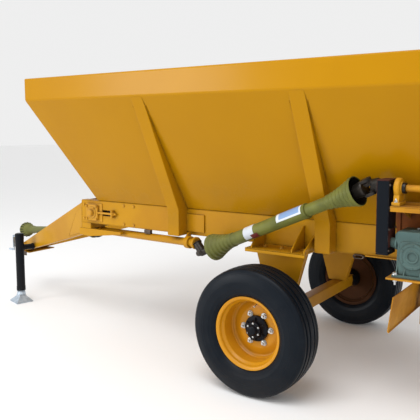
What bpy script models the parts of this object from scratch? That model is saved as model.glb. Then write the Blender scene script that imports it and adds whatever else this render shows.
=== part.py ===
"""Manure spreader: a towed V hopper on two wheels, with a floor conveyor and two spinning discs.

Metres, +Z up.  The drawbar points along -X and the machine's left side faces -Y.  Everything is
placed from the axle: the empty that carries all the parts sits on the ground under the axle.
"""
import math

import bmesh
import bpy
from mathutils import Matrix, Vector

# ---------------------------------------------------------------- driving dimensions
AXLE_X = 0.806            # how far the axle is behind the middle of the whole machine
GAP = 0.0004              # between pieces that touch

TRACK = 1.56
TYRE_R = 0.386
TYRE_WIDTH = 0.230
SEAT_R = 0.203            # 16 inch rim
FLANGE_R = 0.2185

SHEET = 0.005
TOP_Z = 1.935             # rim of the hopper
CREASE_Z = 1.780          # where the upright rim band meets the sloping wall
RAIL_TOP = 1.027
RAIL_BOTTOM = 0.846
TOP_Y = 0.930             # half width at the rim
RAIL_Y = 0.481            # half width at the chassis
RAIL_W = 0.060
TOP_FRONT, TOP_REAR = -1.850, 1.190
FOOT_FRONT, FOOT_REAR = -1.612, 0.950
RAIL_FRONT, RAIL_REAR = -1.790, 1.220

RIB_REAR_FACES = (-0.733, 0.388)
RIB_WIDTH = 0.100
RIB_DEPTH = 0.100

CONVEYOR_Z = 0.935
CONVEYOR_FRONT, CONVEYOR_REAR = -1.660, 0.936
CHAIN_R = 0.065           # outside of the chain where it turns round a shaft
SLAT_HEIGHT = 0.015
SLAT_LENGTH = 0.034

OUTLET_TOP = 1.330
OUTLET_Y = 0.400

BEATER = (1.270, 1.270)   # x and z of the beater's shaft
BEATER_R = 0.170
DISC_X, DISC_Y, DISC_Z = 1.240, 0.360, 0.600
DISC_R = 0.310
ARM_Y = 0.300

SHAFT_Y, SHAFT_Z = -0.760, 1.275     # the upper drive shaft along the left side
JACK = (-2.822, -0.313)
JACK_PIVOT_Z = 0.500

DRAWBAR_REAR = (-1.720, -0.481)      # outer face of the left drawbar arm, at each end
DRAWBAR_NOSE = (-3.020, -0.120)
DRAWBAR_THICK = 0.050

# ---------------------------------------------------------------- scene and collections
for old in list(bpy.data.objects):
    bpy.data.objects.remove(old)

parts = bpy.data.collections.new("manure_spreader")
cutters = bpy.data.collections.new("cutters")
bpy.context.scene.collection.children.link(parts)
bpy.context.scene.collection.children.link(cutters)

frame = bpy.data.objects.new("machine", None)
frame.location = (AXLE_X, 0, 0)
parts.objects.link(frame)


def material(name, colour, roughness, metallic=0.0):
    made = bpy.data.materials.new(name)
    made.use_nodes = True
    shader = made.node_tree.nodes["Principled BSDF"]
    shader.inputs["Base Color"].default_value = (*colour, 1)
    shader.inputs["Roughness"].default_value = roughness
    shader.inputs["Metallic"].default_value = metallic
    return made


YELLOW = material("yellow_paint", (0.66, 0.30, 0.012), 0.32)
BLACK = material("black_paint", (0.012, 0.013, 0.018), 0.4)
GREEN = material("gearbox_paint", (0.12, 0.19, 0.17), 0.45)
OLIVE = material("guard_plastic", (0.27, 0.24, 0.05), 0.5)
STEEL = material("dark_steel", (0.10, 0.08, 0.07), 0.45, 0.8)
ZINC = material("zinc_plate", (0.62, 0.66, 0.66), 0.35, 0.9)
RUBBER = material("tyre_rubber", (0.010, 0.012, 0.016), 0.7)


# ---------------------------------------------------------------- modelling helpers
def finish(name, bm, mat, where=Matrix(), collection=parts):
    """Turn a bmesh into a named object that hangs from the machine's empty."""
    mesh = bpy.data.meshes.new(name)
    bm.to_mesh(mesh)
    bm.free()
    mesh.materials.append(mat)
    made = bpy.data.objects.new(name, mesh)
    made.matrix_local = where
    made.parent = frame
    collection.objects.link(made)
    return made


def round_shaded(made, degrees=35):
    made.data.shade_smooth()
    made.data.set_sharp_from_angle(angle=math.radians(degrees))
    return made


def box(name, low, high, mat=YELLOW, collection=parts):
    """A box between two corners, with its origin at its centre."""
    low, high = Vector(low), Vector(high)
    bm = bmesh.new()
    bmesh.ops.create_cube(bm, size=1.0, matrix=Matrix.Diagonal((*(high - low), 1)))
    return finish(name, bm, mat, Matrix.Translation((low + high) / 2), collection)


def rod(name, start, end, radius, mat=STEEL, sides=24, end_radius=None, collection=parts):
    """A round bar or a cone frustum between two points."""
    start, end = Vector(start), Vector(end)
    run = end - start
    bm = bmesh.new()
    bmesh.ops.create_cone(bm, cap_ends=True, segments=sides, radius1=radius,
                          radius2=radius if end_radius is None else end_radius, depth=run.length)
    turn = Vector((0, 0, 1)).rotation_difference(run).to_matrix().to_4x4()
    return round_shaded(finish(name, bm, mat, Matrix.Translation((start + end) / 2) @ turn, collection))


def plate(name, outlines, thickness, where, mat=YELLOW, collection=parts):
    """A flat outline of any shape, with holes, as thick as stated about its own XY plane."""
    curve = bpy.data.curves.new(name, "CURVE")
    curve.dimensions = "2D"
    curve.fill_mode = "BOTH"
    curve.extrude = thickness / 2
    for outline in outlines:
        spline = curve.splines.new("POLY")
        spline.points.add(len(outline) - 1)
        spline.use_cyclic_u = True
        for point, (a, b) in zip(spline.points, outline):
            point.co = (a, b, 0, 1)
    flat = bpy.data.objects.new(name + "_outline", curve)
    parts.objects.link(flat)
    bpy.context.view_layer.update()
    mesh = bpy.data.meshes.new_from_object(flat.evaluated_get(bpy.context.evaluated_depsgraph_get()))
    bpy.data.objects.remove(flat)
    bm = bmesh.new()
    bm.from_mesh(mesh)
    bmesh.ops.remove_doubles(bm, verts=bm.verts, dist=1e-5)
    bmesh.ops.recalc_face_normals(bm, faces=bm.faces)
    return finish(name, bm, mat, where, collection)


def facing(along_a, along_b, origin=(0, 0, 0)):
    """The matrix whose local X and Y run along two directions of the machine."""
    a, b = Vector(along_a).normalized(), Vector(along_b).normalized()
    turned = Matrix((a, b, a.cross(b))).transposed().to_4x4()
    return Matrix.Translation(origin) @ turned


def side_plate(name, outline, low_y, high_y, mat=YELLOW, collection=parts):
    """An outline in X and Z, between two Y positions."""
    middle = (0, (low_y + high_y) / 2, 0)
    return plate(name, [outline], high_y - low_y, facing((1, 0, 0), (0, 0, 1), middle), mat, collection)


def cross_plate(name, outline, low_x, high_x, mat=YELLOW, collection=parts):
    """An outline in Y and Z, between two X positions."""
    middle = ((low_x + high_x) / 2, 0, 0)
    return plate(name, [outline], high_x - low_x, facing((0, 1, 0), (0, 0, 1), middle), mat, collection)


def turned(name, profile, centre, mat, axis=(0, 0, 1), steps=40):
    """A profile of (radius, height) points turned about an axis through centre."""
    bm = bmesh.new()
    ring = [bm.verts.new((radius, 0, height)) for radius, height in profile]
    edges = [bm.edges.new(pair) for pair in zip(ring, ring[1:])]
    if profile[0][0] > 0:
        edges.append(bm.edges.new((ring[-1], ring[0])))
    bmesh.ops.spin(bm, geom=ring + edges, cent=(0, 0, 0), axis=(0, 0, 1), angle=2 * math.pi,
                   steps=steps, use_merge=True)
    bmesh.ops.remove_doubles(bm, verts=bm.verts, dist=1e-5)
    bmesh.ops.recalc_face_normals(bm, faces=bm.faces)
    turn = Vector((0, 0, 1)).rotation_difference(Vector(axis)).to_matrix().to_4x4()
    return round_shaded(finish(name, bm, mat, Matrix.Translation(centre) @ turn))


def folded_sheet(name, starts, ends, inside, mat=YELLOW, collection=parts):
    """A folded sheet between two matching lines of points, thickened towards a point inside."""
    bm = bmesh.new()
    line = [bm.verts.new(point) for point in starts]
    edges = [bm.edges.new(pair) for pair in zip(line, line[1:])]
    far = bmesh.ops.extrude_edge_only(bm, edges=edges)["geom"]
    for vert in [item for item in far if isinstance(item, bmesh.types.BMVert)]:
        nearest = min(range(len(starts)), key=lambda i: (Vector(starts[i]) - vert.co).length)
        vert.co = ends[nearest]
    bm.normal_update()
    biggest = max(bm.faces, key=lambda face: face.calc_area())
    bmesh.ops.recalc_face_normals(bm, faces=bm.faces)
    if biggest.normal.dot(biggest.calc_center_median() - Vector(inside)) < 0:
        bmesh.ops.reverse_faces(bm, faces=bm.faces)
    made = finish(name, bm, mat, collection=collection)
    solid = made.modifiers.new("thickness", "SOLIDIFY")
    solid.thickness = SHEET
    solid.offset = -1
    solid.use_even_offset = True
    return made


def combine(made, other, operation):
    """Join or cut a piece with another, which moves to the cutters."""
    if other.name in parts.objects:
        parts.objects.unlink(other)
        cutters.objects.link(other)
    other.hide_render = True
    other.display_type = "WIRE"
    step = made.modifiers.new(operation.lower(), "BOOLEAN")
    step.operation = operation
    step.object = other
    return made


def join(made, *others):
    for other in others:
        combine(made, other, "UNION")
    return made


def cut(made, *others):
    for other in others:
        combine(made, other, "DIFFERENCE")
    return made


def wall_y(z):
    """Half width of the hopper's outside at a height."""
    rise = max(0.0, min(1.0, (z - RAIL_TOP) / (CREASE_Z - RAIL_TOP)))
    return RAIL_Y + (TOP_Y - RAIL_Y) * rise


def wall_x(z, foot, top):
    """Place of the hopper's front or rear outside at a height."""
    rise = max(0.0, min(1.0, (z - RAIL_TOP) / (CREASE_Z - RAIL_TOP)))
    return foot + (top - foot) * rise


# ---------------------------------------------------------------- chassis
def chassis_rail(side, sign):
    """A channel with its web outside, its shaft bearings' housings and the holes for the shafts."""
    web, inner = sign * RAIL_Y, sign * (RAIL_Y - RAIL_W)
    wall = 0.008
    low, high = RAIL_BOTTOM, RAIL_TOP
    channel = [(web, low), (inner, low), (inner, low + wall), (web - sign * wall, low + wall),
               (web - sign * wall, high - wall), (inner, high - wall), (inner, high), (web, high)]
    rail = cross_plate("chassis_rail_" + side, channel, RAIL_FRONT, RAIL_REAR)
    for x, radius in ((CONVEYOR_FRONT, 0.068), (CONVEYOR_REAR, 0.052)):
        housing = rod("housing", (x, web - sign * 0.004, CONVEYOR_Z), (x, web + sign * 0.036, CONVEYOR_Z), radius)
        join(rail, housing)
    for x in (CONVEYOR_FRONT, CONVEYOR_REAR):
        cut(rail, rod("shaft_hole", (x, web - sign * 0.1, CONVEYOR_Z), (x, web + sign * 0.1, CONVEYOR_Z), 0.026))
    return rail


def crossmembers():
    """An angle that closes the rails' front ends, and a flat box under their rear ends."""
    under = RAIL_BOTTOM - GAP
    front = RAIL_FRONT - GAP
    angle = [(front - 0.008, under - 0.045), (front + 0.09, under - 0.045), (front + 0.09, under),
             (front, under), (front, RAIL_TOP - 0.004), (front - 0.008, RAIL_TOP - 0.004)]
    side_plate("crossmember_front", angle, -RAIL_Y, RAIL_Y)
    box("crossmember_rear", (0.845, -0.470, under - 0.045), (0.925, 0.470, under))


def axle():
    """The square axle beam with its round stubs, which the wheels turn on."""
    half = 0.0425
    beam = box("axle_beam", (-half, -0.640, TYRE_R - half), (half, 0.640, TYRE_R + half))
    for sign in (-1, 1):
        join(beam, rod("stub", (0, sign * 0.62, TYRE_R), (0, sign * (TRACK / 2 - 0.066), TYRE_R), 0.028))
    return beam


def axle_mount(side, sign):
    """The hanger between rail and axle, with the shelf and its gussets outside the rail."""
    shelf_top = RAIL_BOTTOM - GAP
    hanger = [(-0.190, shelf_top - 0.004), (0.190, shelf_top - 0.004), (0.070, TYRE_R + 0.043), (-0.070, TYRE_R + 0.043)]
    ys = sorted((sign * 0.428, sign * 0.474))
    mount = side_plate("axle_mount_" + side, hanger, *ys)
    ys = sorted((sign * 0.428, sign * 0.655))
    join(mount, box("shelf", (-0.150, ys[0], shelf_top - 0.008), (0.262, ys[1], shelf_top)))
    foot, face = RAIL_BOTTOM - 0.004, sign * (RAIL_Y + GAP)
    for x, top in ((-0.110, 0.985), (0.170, 0.985), (0.252, 0.940)):
        gusset = [(face, foot), (sign * 0.650, foot), (sign * 0.650, foot + 0.020), (face + sign * 0.020, top), (face, top)]
        join(mount, cross_plate("gusset", gusset, x, x + 0.008))
    return mount


# ---------------------------------------------------------------- hopper
def hopper_side(side, sign):
    """Rim band with its lip, sloping wall and the flange that rests on the rail."""
    foot_z = RAIL_TOP + GAP
    section = ((TOP_Y - 0.035, TOP_Z), (TOP_Y, TOP_Z), (TOP_Y, CREASE_Z), (RAIL_Y, foot_z), (RAIL_Y - 0.056, foot_z))
    starts = [(wall_x(z, FOOT_FRONT, TOP_FRONT), sign * y, z) for y, z in section]
    ends = [(wall_x(z, FOOT_REAR, TOP_REAR), sign * y, z) for y, z in section]
    return folded_sheet("hopper_side_" + side, starts, ends, (0, 0, 1.5))


def hopper_end(name, foot, top):
    """Front or rear wall, which fits between the side walls and under their lips."""
    inset = SHEET / math.cos(math.atan2(TOP_Y - RAIL_Y, CREASE_Z - RAIL_TOP)) + 0.001
    lip_z, foot_z = TOP_Z - SHEET - GAP, RAIL_TOP + SHEET + 0.0012
    inward = math.copysign(0.035, foot - top)
    section = ((top + inward, lip_z), (top, lip_z), (top, CREASE_Z), (wall_x(foot_z, foot, top), foot_z))
    starts = [(x, -(wall_y(z) - inset), z) for x, z in section]
    ends = [(x, wall_y(z) - inset, z) for x, z in section]
    return folded_sheet(name, starts, ends, (0, 0, 1.5))


def hopper():
    hopper_side("left", -1)
    hopper_side("right", 1)
    hopper_end("hopper_front", FOOT_FRONT, TOP_FRONT)
    rear = hopper_end("hopper_rear", FOOT_REAR, TOP_REAR)
    cut(rear, box("outlet", (0.85, -OUTLET_Y, 0.95), (1.30, OUTLET_Y, OUTLET_TOP)))


def ribs():
    """Tapered ribs, flat on the crease and deepest at the chassis, then straight down the rail."""
    for sign, side in ((-1, "left"), (1, "right")):
        for place, rear in zip(("front", "rear"), RIB_REAR_FACES):
            gap = 0.0008
            crease = (sign * (wall_y(CREASE_Z - 0.004) + gap), CREASE_Z - 0.004)
            outline = [crease, (sign * (RAIL_Y + RIB_DEPTH), RAIL_TOP), (sign * (RAIL_Y + RIB_DEPTH), RAIL_BOTTOM + GAP),
                       (sign * (RAIL_Y + gap), RAIL_BOTTOM + GAP), (sign * (RAIL_Y + gap), RAIL_TOP)]
            cross_plate(f"rib_{place}_{side}", outline, rear - RIB_WIDTH, rear)


# ---------------------------------------------------------------- floor conveyor
def stadium(radius, steps=8):
    """A loop round both conveyor shafts, as (x, z) points, with a quarter turn offset at each end."""
    points = []
    for centre, start in ((CONVEYOR_REAR, -90), (CONVEYOR_FRONT, 90)):
        for i in range(steps + 1):
            angle = math.radians(start + 180 * i / steps)
            points.append((centre + radius * math.cos(angle), CONVEYOR_Z + radius * math.sin(angle)))
    return points


def slatted_loop(count=11):
    """The outside of the chain with a slat standing on it every pitch, on the top and bottom runs."""
    ends = stadium(CHAIN_R)
    half = len(ends) // 2
    pitch = (CONVEYOR_REAR - CONVEYOR_FRONT) / count
    tip = CHAIN_R + SLAT_HEIGHT

    def run(direction):
        start = CONVEYOR_REAR if direction < 0 else CONVEYOR_FRONT
        side = -direction
        points = []
        for i in range(count):
            middle = start + direction * pitch * (i + 0.5)
            near, far = middle - direction * SLAT_LENGTH / 2, middle + direction * SLAT_LENGTH / 2
            for x, r in ((near, CHAIN_R), (near, tip), (far, tip), (far, CHAIN_R)):
                points.append((x, CONVEYOR_Z + side * r))
        return points

    return ends[:half] + run(-1) + ends[half:] + run(1)


def conveyor():
    width = RAIL_Y - RAIL_W - 0.011
    upright = facing((1, 0, 0), (0, 0, 1))
    plate("conveyor_slats", [slatted_loop(), stadium(CHAIN_R - 0.010)], 2 * width, upright, STEEL)
    floor_top = CONVEYOR_Z + CHAIN_R - 0.014
    box("conveyor_floor", (-1.560, -0.420, floor_top - 0.005), (0.850, 0.420, floor_top), YELLOW)
    for name, x, left_end in (("conveyor_shaft_front", CONVEYOR_FRONT, -0.530), ("conveyor_shaft_rear", CONVEYOR_REAR, -0.6195)):
        shaft = rod(name, (x, left_end, CONVEYOR_Z), (x, 0.530, CONVEYOR_Z), 0.0225)
        join(shaft, rod("drum", (x, -0.36, CONVEYOR_Z), (x, 0.36, CONVEYOR_Z), CHAIN_R - 0.016, sides=20))


# ---------------------------------------------------------------- drawbar and jack
def drawbar():
    """Two tapering arms in a V, their gussets under the rails, the nose and its pin hole."""
    rear, nose = Vector((*DRAWBAR_REAR, 0)), Vector((*DRAWBAR_NOSE, 0))
    run = (nose - rear).length
    arms = []
    for sign in (1, -1):
        a, b = Vector((rear.x, sign * rear.y, 0)), Vector((nose.x, sign * nose.y, 0))
        along = (b - a).normalized()
        inward = Vector((0, sign, 0)) * DRAWBAR_THICK / 2
        start = 0.097
        outline = [(start, 0.745), (0.42, 0.655), (run, 0.415), (run, 0.500), (start, 1.003)]
        arms.append(plate("drawbar_arm", [outline], DRAWBAR_THICK, facing(along, (0, 0, 1), a + inward)))
    bar = arms[0]
    bar.name = "drawbar"
    join(bar, arms[1])
    join(bar, box("head", (nose.x - 0.010, -0.150, 0.412), (nose.x + 0.110, 0.150, 0.502)))
    for sign in (-1, 1):
        under = RAIL_BOTTOM - 0.0454 - 2 * GAP
        gusset = [(-1.830, 0.745), (-1.720, 0.738), (-1.380, under - 0.02), (-1.380, under), (-1.830, under)]
        ys = sorted((sign * 0.481, sign * 0.448))
        join(bar, side_plate("gusset", gusset, *ys))
    tongue_tip, tongue_r = nose.x - 0.075, 0.045
    arc = [(tongue_tip + tongue_r * math.cos(math.radians(d)), tongue_r * math.sin(math.radians(d))) for d in range(90, 271, 15)]
    tongue = arc + [(nose.x + 0.02, -tongue_r), (nose.x + 0.02, tongue_r)]
    join(bar, plate("tongue", [tongue], 0.030, Matrix.Translation((0, 0, 0.456))))
    cut(bar, rod("pin_hole", (tongue_tip, 0, 0.3), (tongue_tip, 0, 0.6), 0.021))
    return bar


def jack():
    """Swivelling outer tube on its stub, the crank, and the leg that screws out of the tube."""
    x, y = JACK
    outer, inner = 0.039, 0.034
    tube = turned("jack_tube", [(0.0, 0.635), (outer, 0.635), (outer, 0.105), (inner, 0.105), (inner, 0.615), (0.0, 0.615)],
                  (x, y, 0), BLACK, steps=24)
    rear, nose = Vector((*DRAWBAR_REAR, 0)), Vector((*DRAWBAR_NOSE, 0))
    along = (rear - nose).normalized()
    across = Vector((along.y, -along.x, 0))
    across = -across if across.y < 0 else across
    pivot = Vector((x, y, JACK_PIVOT_Z))
    distance = (Vector((x, y, 0)) - nose).cross(along).length
    stub = rod("stub", pivot + across * (outer - 0.002), pivot + across * (distance - 0.006), 0.030, BLACK)
    join(tube, stub)
    crank = rod("jack_crank", (x - outer - GAP, y, 0.600), (x - 0.085, y, 0.600), 0.009, ZINC, 12)
    join(crank, rod("arm", (x - 0.080, y, 0.612), (x - 0.080, y, 0.470), 0.008, ZINC, 12))
    join(crank, rod("handle", (x - 0.082, y, 0.478), (x - 0.150, y, 0.478), 0.010, ZINC, 12))
    leg_r = inner - 0.006
    foot = [(0.0, 0.56), (leg_r, 0.56), (leg_r, 0.088), (0.045, 0.080), (0.060, 0.030), (0.098, 0.012),
            (0.098, 0.0), (0.0, 0.0)]
    turned("jack_leg", foot, (x, y, 0), ZINC, steps=24)


# ---------------------------------------------------------------- drive line
def guard(name, start, end, radius, cones, cone_length):
    """A plastic tube round a shaft, opening to a cone at each end, and open right through."""
    start, end = Vector(start), Vector(end)
    run, wall = (end - start).length, 0.0035
    inner = radius - wall
    profile = [(cones[0], 0), (radius, cone_length), (radius, run - cone_length), (cones[1], run), (cones[1] - wall, run),
               (inner, run - cone_length), (inner, cone_length), (cones[0] - wall, 0)]
    return turned(name, profile, start, OLIVE, end - start, 28)


def shaft_with_joints(name, start, end):
    """A steel shaft with the block of a universal joint at each end."""
    start, end = Vector(start), Vector(end)
    along = (end - start).normalized()
    shaft = rod(name, start, end, 0.018, sides=16)
    for point, way in ((start, 1), (end, -1)):
        join(shaft, rod("yoke", point - along * way * 0.030, point + along * way * 0.055, 0.030, sides=16))
    return shaft


INPUT_FRONT, INPUT_REAR = (-3.110, 0.0, 0.600), (-1.780, -0.330, 0.752)
TUBE_FRONT, TUBE_REAR = (-1.735, -0.340, 0.765), (-0.600, -0.552, 0.808)
SIDE_FRONT, SIDE_REAR = (-0.548, -0.560, 0.756), (0.690, SHAFT_Y, SHAFT_Z)


def between(start, end, first, last):
    """Points a stated distance in from each end of a line."""
    start, end = Vector(start), Vector(end)
    along = (end - start).normalized()
    return start + along * first, end - along * last


def drive_line():
    shaft_with_joints("input_shaft", INPUT_FRONT, INPUT_REAR)
    guard("input_shaft_guard", *between(INPUT_FRONT, INPUT_REAR, -0.035, 0.06), 0.033, (0.070, 0.055), 0.15)
    tube = rod("lower_shaft_tube", TUBE_FRONT, TUBE_REAR, 0.0285, YELLOW)
    flange = between(TUBE_FRONT, TUBE_REAR, 0, 0.012)[1]
    join(tube, rod("flange", flange, TUBE_REAR, 0.042, YELLOW))
    shaft_with_joints("side_shaft", SIDE_FRONT, SIDE_REAR)
    guard("side_shaft_guard", *between(SIDE_FRONT, SIDE_REAR, 0.120, 0.076), 0.042, (0.088, 0.083), 0.17)


def belt_case():
    """The upright case that takes the drive from the upper shaft down to the conveyor's gearbox."""
    low, high, front, back, corner = 0.932, 1.318, SHAFT_Y - 0.060, SHAFT_Y + 0.060, 0.010
    outline = [(front + corner, low), (back - corner, low), (back, low + corner), (back, high - corner),
               (back - corner, high), (front + corner, high), (front, high - corner), (front, low + corner)]
    return cross_plate("belt_case", outline, 0.750, 0.815, BLACK)


def upper_shaft():
    """The shelf on the hopper's flank, with the shaft bearing that stands on it and the shaft's tube."""
    shelf_z, rear = 1.180, 1.370
    wall = -(wall_y(shelf_z) + 0.005)
    face = -(RAIL_Y + SHEET + 3 * GAP)
    outline = [(0.822, -0.820), (rear, -0.820), (rear, face), (1.080, face), (1.080, wall), (0.822, wall)]
    shelf = plate("upper_shaft_shelf", [outline], 0.006, Matrix.Translation((0, 0, shelf_z + 0.003)))
    for x, inner, depth in ((0.850, wall, 0.110), (1.300, face, 0.150)):
        low_y = wall_y(shelf_z - depth) if inner == wall else -face
        gusset = [(-0.800, shelf_z + 0.002), (inner, shelf_z + 0.002), (-(low_y + 0.006) if inner == wall else face, shelf_z - depth)]
        join(shelf, cross_plate("gusset", gusset, x, x + 0.008))
    panel = box("panel", (0.8225, -0.586, 0.830), (rear, -0.578, shelf_z + 0.004))
    join(shelf, cut(panel, rod("shaft_hole", (CONVEYOR_REAR, -0.62, CONVEYOR_Z), (CONVEYOR_REAR, -0.54, CONVEYOR_Z), 0.032)))
    join(shelf, box("bearing", (0.824, -0.812, shelf_z + 0.004), (0.868, -0.708, 1.328)))
    join(shelf, rod("tube", (0.860, SHAFT_Y, SHAFT_Z), (1.180 - GAP, SHAFT_Y, SHAFT_Z), 0.018, YELLOW))
    return shelf


def gearboxes():
    """Worm box that drives the conveyor, bevel box that drives the beater, and the shelf under the first."""
    x, z = CONVEYOR_REAR, CONVEYOR_Z
    face = -(RAIL_Y + GAP)
    angle = [(-0.830, 0.812), (face, 0.812), (face, 0.872), (face - 0.008, 0.872), (face - 0.008, 0.822), (-0.830, 0.822)]
    cross_plate("gearbox_shelf", angle, 0.810, 1.062)
    base = 0.822 + GAP
    worm = box("conveyor_gearbox", (0.838, -0.795, base + 0.010), (1.034, -0.620, 1.062), GREEN)
    join(worm, box("foot", (0.832, -0.815, base), (1.045, -0.590, base + 0.016), GREEN))
    join(worm, rod("cover", (x, -0.790, z), (x, -0.806, z), 0.068, GREEN))
    join(worm, rod("input_neck", (0.8156, SHAFT_Y, 0.992), (0.870, SHAFT_Y, 0.992), 0.026, GREEN))
    box("beater_gearbox", (1.180, -0.832, 1.1865), (1.355, -0.690, 1.350), GREEN)


def chain_case():
    """The case on the right that takes the drive from the beater's shaft down to the discs."""
    outline = []
    for centre, start, reach in (((BEATER[0], BEATER[1]), 0, 0.085), ((DISC_X, 0.530), 180, 0.070)):
        for i in range(9):
            angle = math.radians(start + 22.5 * i)
            outline.append((centre[0] + reach * math.cos(angle), centre[1] + reach * math.sin(angle)))
    case = side_plate("chain_case", outline, 0.702, 0.762)
    stay = [(1.225, 1.100), (1.290, 1.100), (1.290, 1.180), (1.225, 1.180)]
    join(case, side_plate("stay", stay, RAIL_Y + SHEET + 3 * GAP, 0.705))
    return case


# ---------------------------------------------------------------- spreading gear
def wall_frame(distance=0.0):
    """Local X out from the rear wall, local Y across, local Z up the wall, from the wall's foot."""
    up = Vector((TOP_REAR - FOOT_REAR, 0, CREASE_Z - RAIL_TOP)).normalized()
    out = Vector((up.z, 0, -up.x))
    turned_frame = Matrix((out, Vector((0, 1, 0)), up)).transposed().to_4x4()
    return Matrix.Translation(Vector((FOOT_REAR, 0, RAIL_TOP)) + up * distance) @ turned_frame


def wall_box(name, low, high, mat=YELLOW):
    """A box stated in the rear wall's own directions."""
    low, high = Vector(low), Vector(high)
    bm = bmesh.new()
    bmesh.ops.create_cube(bm, size=1.0, matrix=Matrix.Diagonal((*(high - low), 1)))
    return finish(name, bm, mat, wall_frame() @ Matrix.Translation((low + high) / 2))


def rear_gate():
    """The sliding gate behind the outlet, and the guides that hold its edges."""
    gate = wall_box("rear_gate", (0.006, -0.430, 0.006), (0.012, 0.430, 0.352))
    join(gate, wall_box("stiffener", (0.010, -0.395, 0.330), (0.038, 0.395, 0.336)))
    guides = wall_box("gate_guides", (0.0008, -0.441, 0.700), (0.022, 0.441, 0.716))
    for sign in (-1, 1):
        ys = sorted((sign * 0.437, sign * 0.441))
        join(guides, wall_box("web", (0.0008, ys[0], 0.030), (0.022, ys[1], 0.710)))
        ys = sorted((sign * 0.408, sign * 0.441))
        join(guides, wall_box("flange", (0.018, ys[0], 0.030), (0.022, ys[1], 0.710)))
    return gate, guides


def beater_housing():
    """Two cheeks outside the rails and the hood over the beater."""
    y = RAIL_Y + SHEET + GAP
    hood = ((1.190, 1.478), (1.300, 1.500), (1.470, 1.410), (1.470, 1.240))
    housing = folded_sheet("beater_housing", [(x, -y, z) for x, z in hood], [(x, y, z) for x, z in hood], (1.27, 0, 1.27))
    inset = SHEET / 2
    cheek = [(1.075, 0.880), (1.200, 0.880), (1.470 - inset, 1.060), (1.470 - inset, 1.410 - inset),
             (1.300, 1.500 - inset), (1.190, 1.478 - inset), (1.108, 1.460), (0.975, 1.040), (1.075, 1.040)]
    for sign in (-1, 1):
        ys = sorted((sign * (RAIL_Y + GAP), sign * y))
        plate_made = side_plate("cheek", cheek, *ys)
        join(housing, plate_made)
    x, z = BEATER
    cut(housing, rod("shaft_holes", (x, -0.6, z), (x, 0.6, z), 0.0265))
    return housing


def beater():
    """The beater: a tube with toothed bars across it, each turned further round than the last."""
    x, z = BEATER
    rotor = rod("beater_rotor", (x, -0.430, z), (x, 0.430, z), 0.045, YELLOW)
    join(rotor, rod("shaft", (x, -0.6895, z), (x, 0.7015, z), 0.020, STEEL, 16))
    bars = 8
    for i in range(bars):
        y = -0.385 + 0.770 * i / (bars - 1)
        bar = box("tooth_bar", (-BEATER_R, -0.005, -0.024), (BEATER_R, 0.005, 0.024))
        bar.matrix_local = Matrix.Translation((x, y, z)) @ Matrix.Rotation(math.radians(45 * i), 4, "Y")
        join(rotor, bar)
    return rotor


def disc(side, sign):
    """A spreading disc with four upright vanes, and the boss that it turns on."""
    centre = (DISC_X, sign * DISC_Y, DISC_Z)
    profile = [(0.0, 0.060), (0.040, 0.060), (0.060, 0.006), (DISC_R, 0.006), (DISC_R, 0.0), (0.030, 0.0),
               (0.030, -0.010), (0.0, -0.010)]
    made = turned("disc_" + side, profile, centre, YELLOW)
    for i in range(4):
        vane = box("vane", (0.052, -0.003, 0.004), (0.298, 0.003, 0.050))
        lean = Matrix.Rotation(math.radians(90 * i + 45), 4, "Z")
        vane.matrix_local = Matrix.Translation(centre) @ lean @ Matrix.Translation((0.175, 0, 0.027))
        join(made, vane)
    return made


def spinner_frame():
    """Arms that run down from the rear cross-member and back under the discs, and the apron ahead of them."""
    top, low = RAIL_BOTTOM - 0.0454 - 2 * GAP, 0.440
    arm = [(0.848, top), (0.848, low), (1.400, low), (1.400, low + 0.048), (0.896, low + 0.048), (0.896, top)]
    arms = [side_plate("arm", arm, sign * ARM_Y - 0.024, sign * ARM_Y + 0.024) for sign in (-1, 1)]
    made = arms[0]
    made.name = "spinner_frame"
    join(made, arms[1], box("tie", (0.849, -ARM_Y, low + 0.001), (0.895, ARM_Y, low + 0.047)))
    apron = ((0.840, 0.715), (0.838, 0.700), (0.815, 0.530), (0.822, 0.522))
    folded_sheet("spinner_apron", [(x, -0.800, z) for x, z in apron], [(x, 0.800, z) for x, z in apron], (1.2, 0, 0.6))
    floor = low + 0.048 + GAP
    boxes = [box("disc_box", (DISC_X - 0.075, sign * DISC_Y - 0.075, floor), (DISC_X + 0.075, sign * DISC_Y + 0.075, 0.580), GREEN)
             for sign in (-1, 1)]
    drive = boxes[0]
    drive.name = "disc_drive"
    join(drive, boxes[1], rod("cross_shaft", (DISC_X, -DISC_Y, 0.530), (DISC_X, 0.7015, 0.530), 0.024, GREEN))


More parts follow.
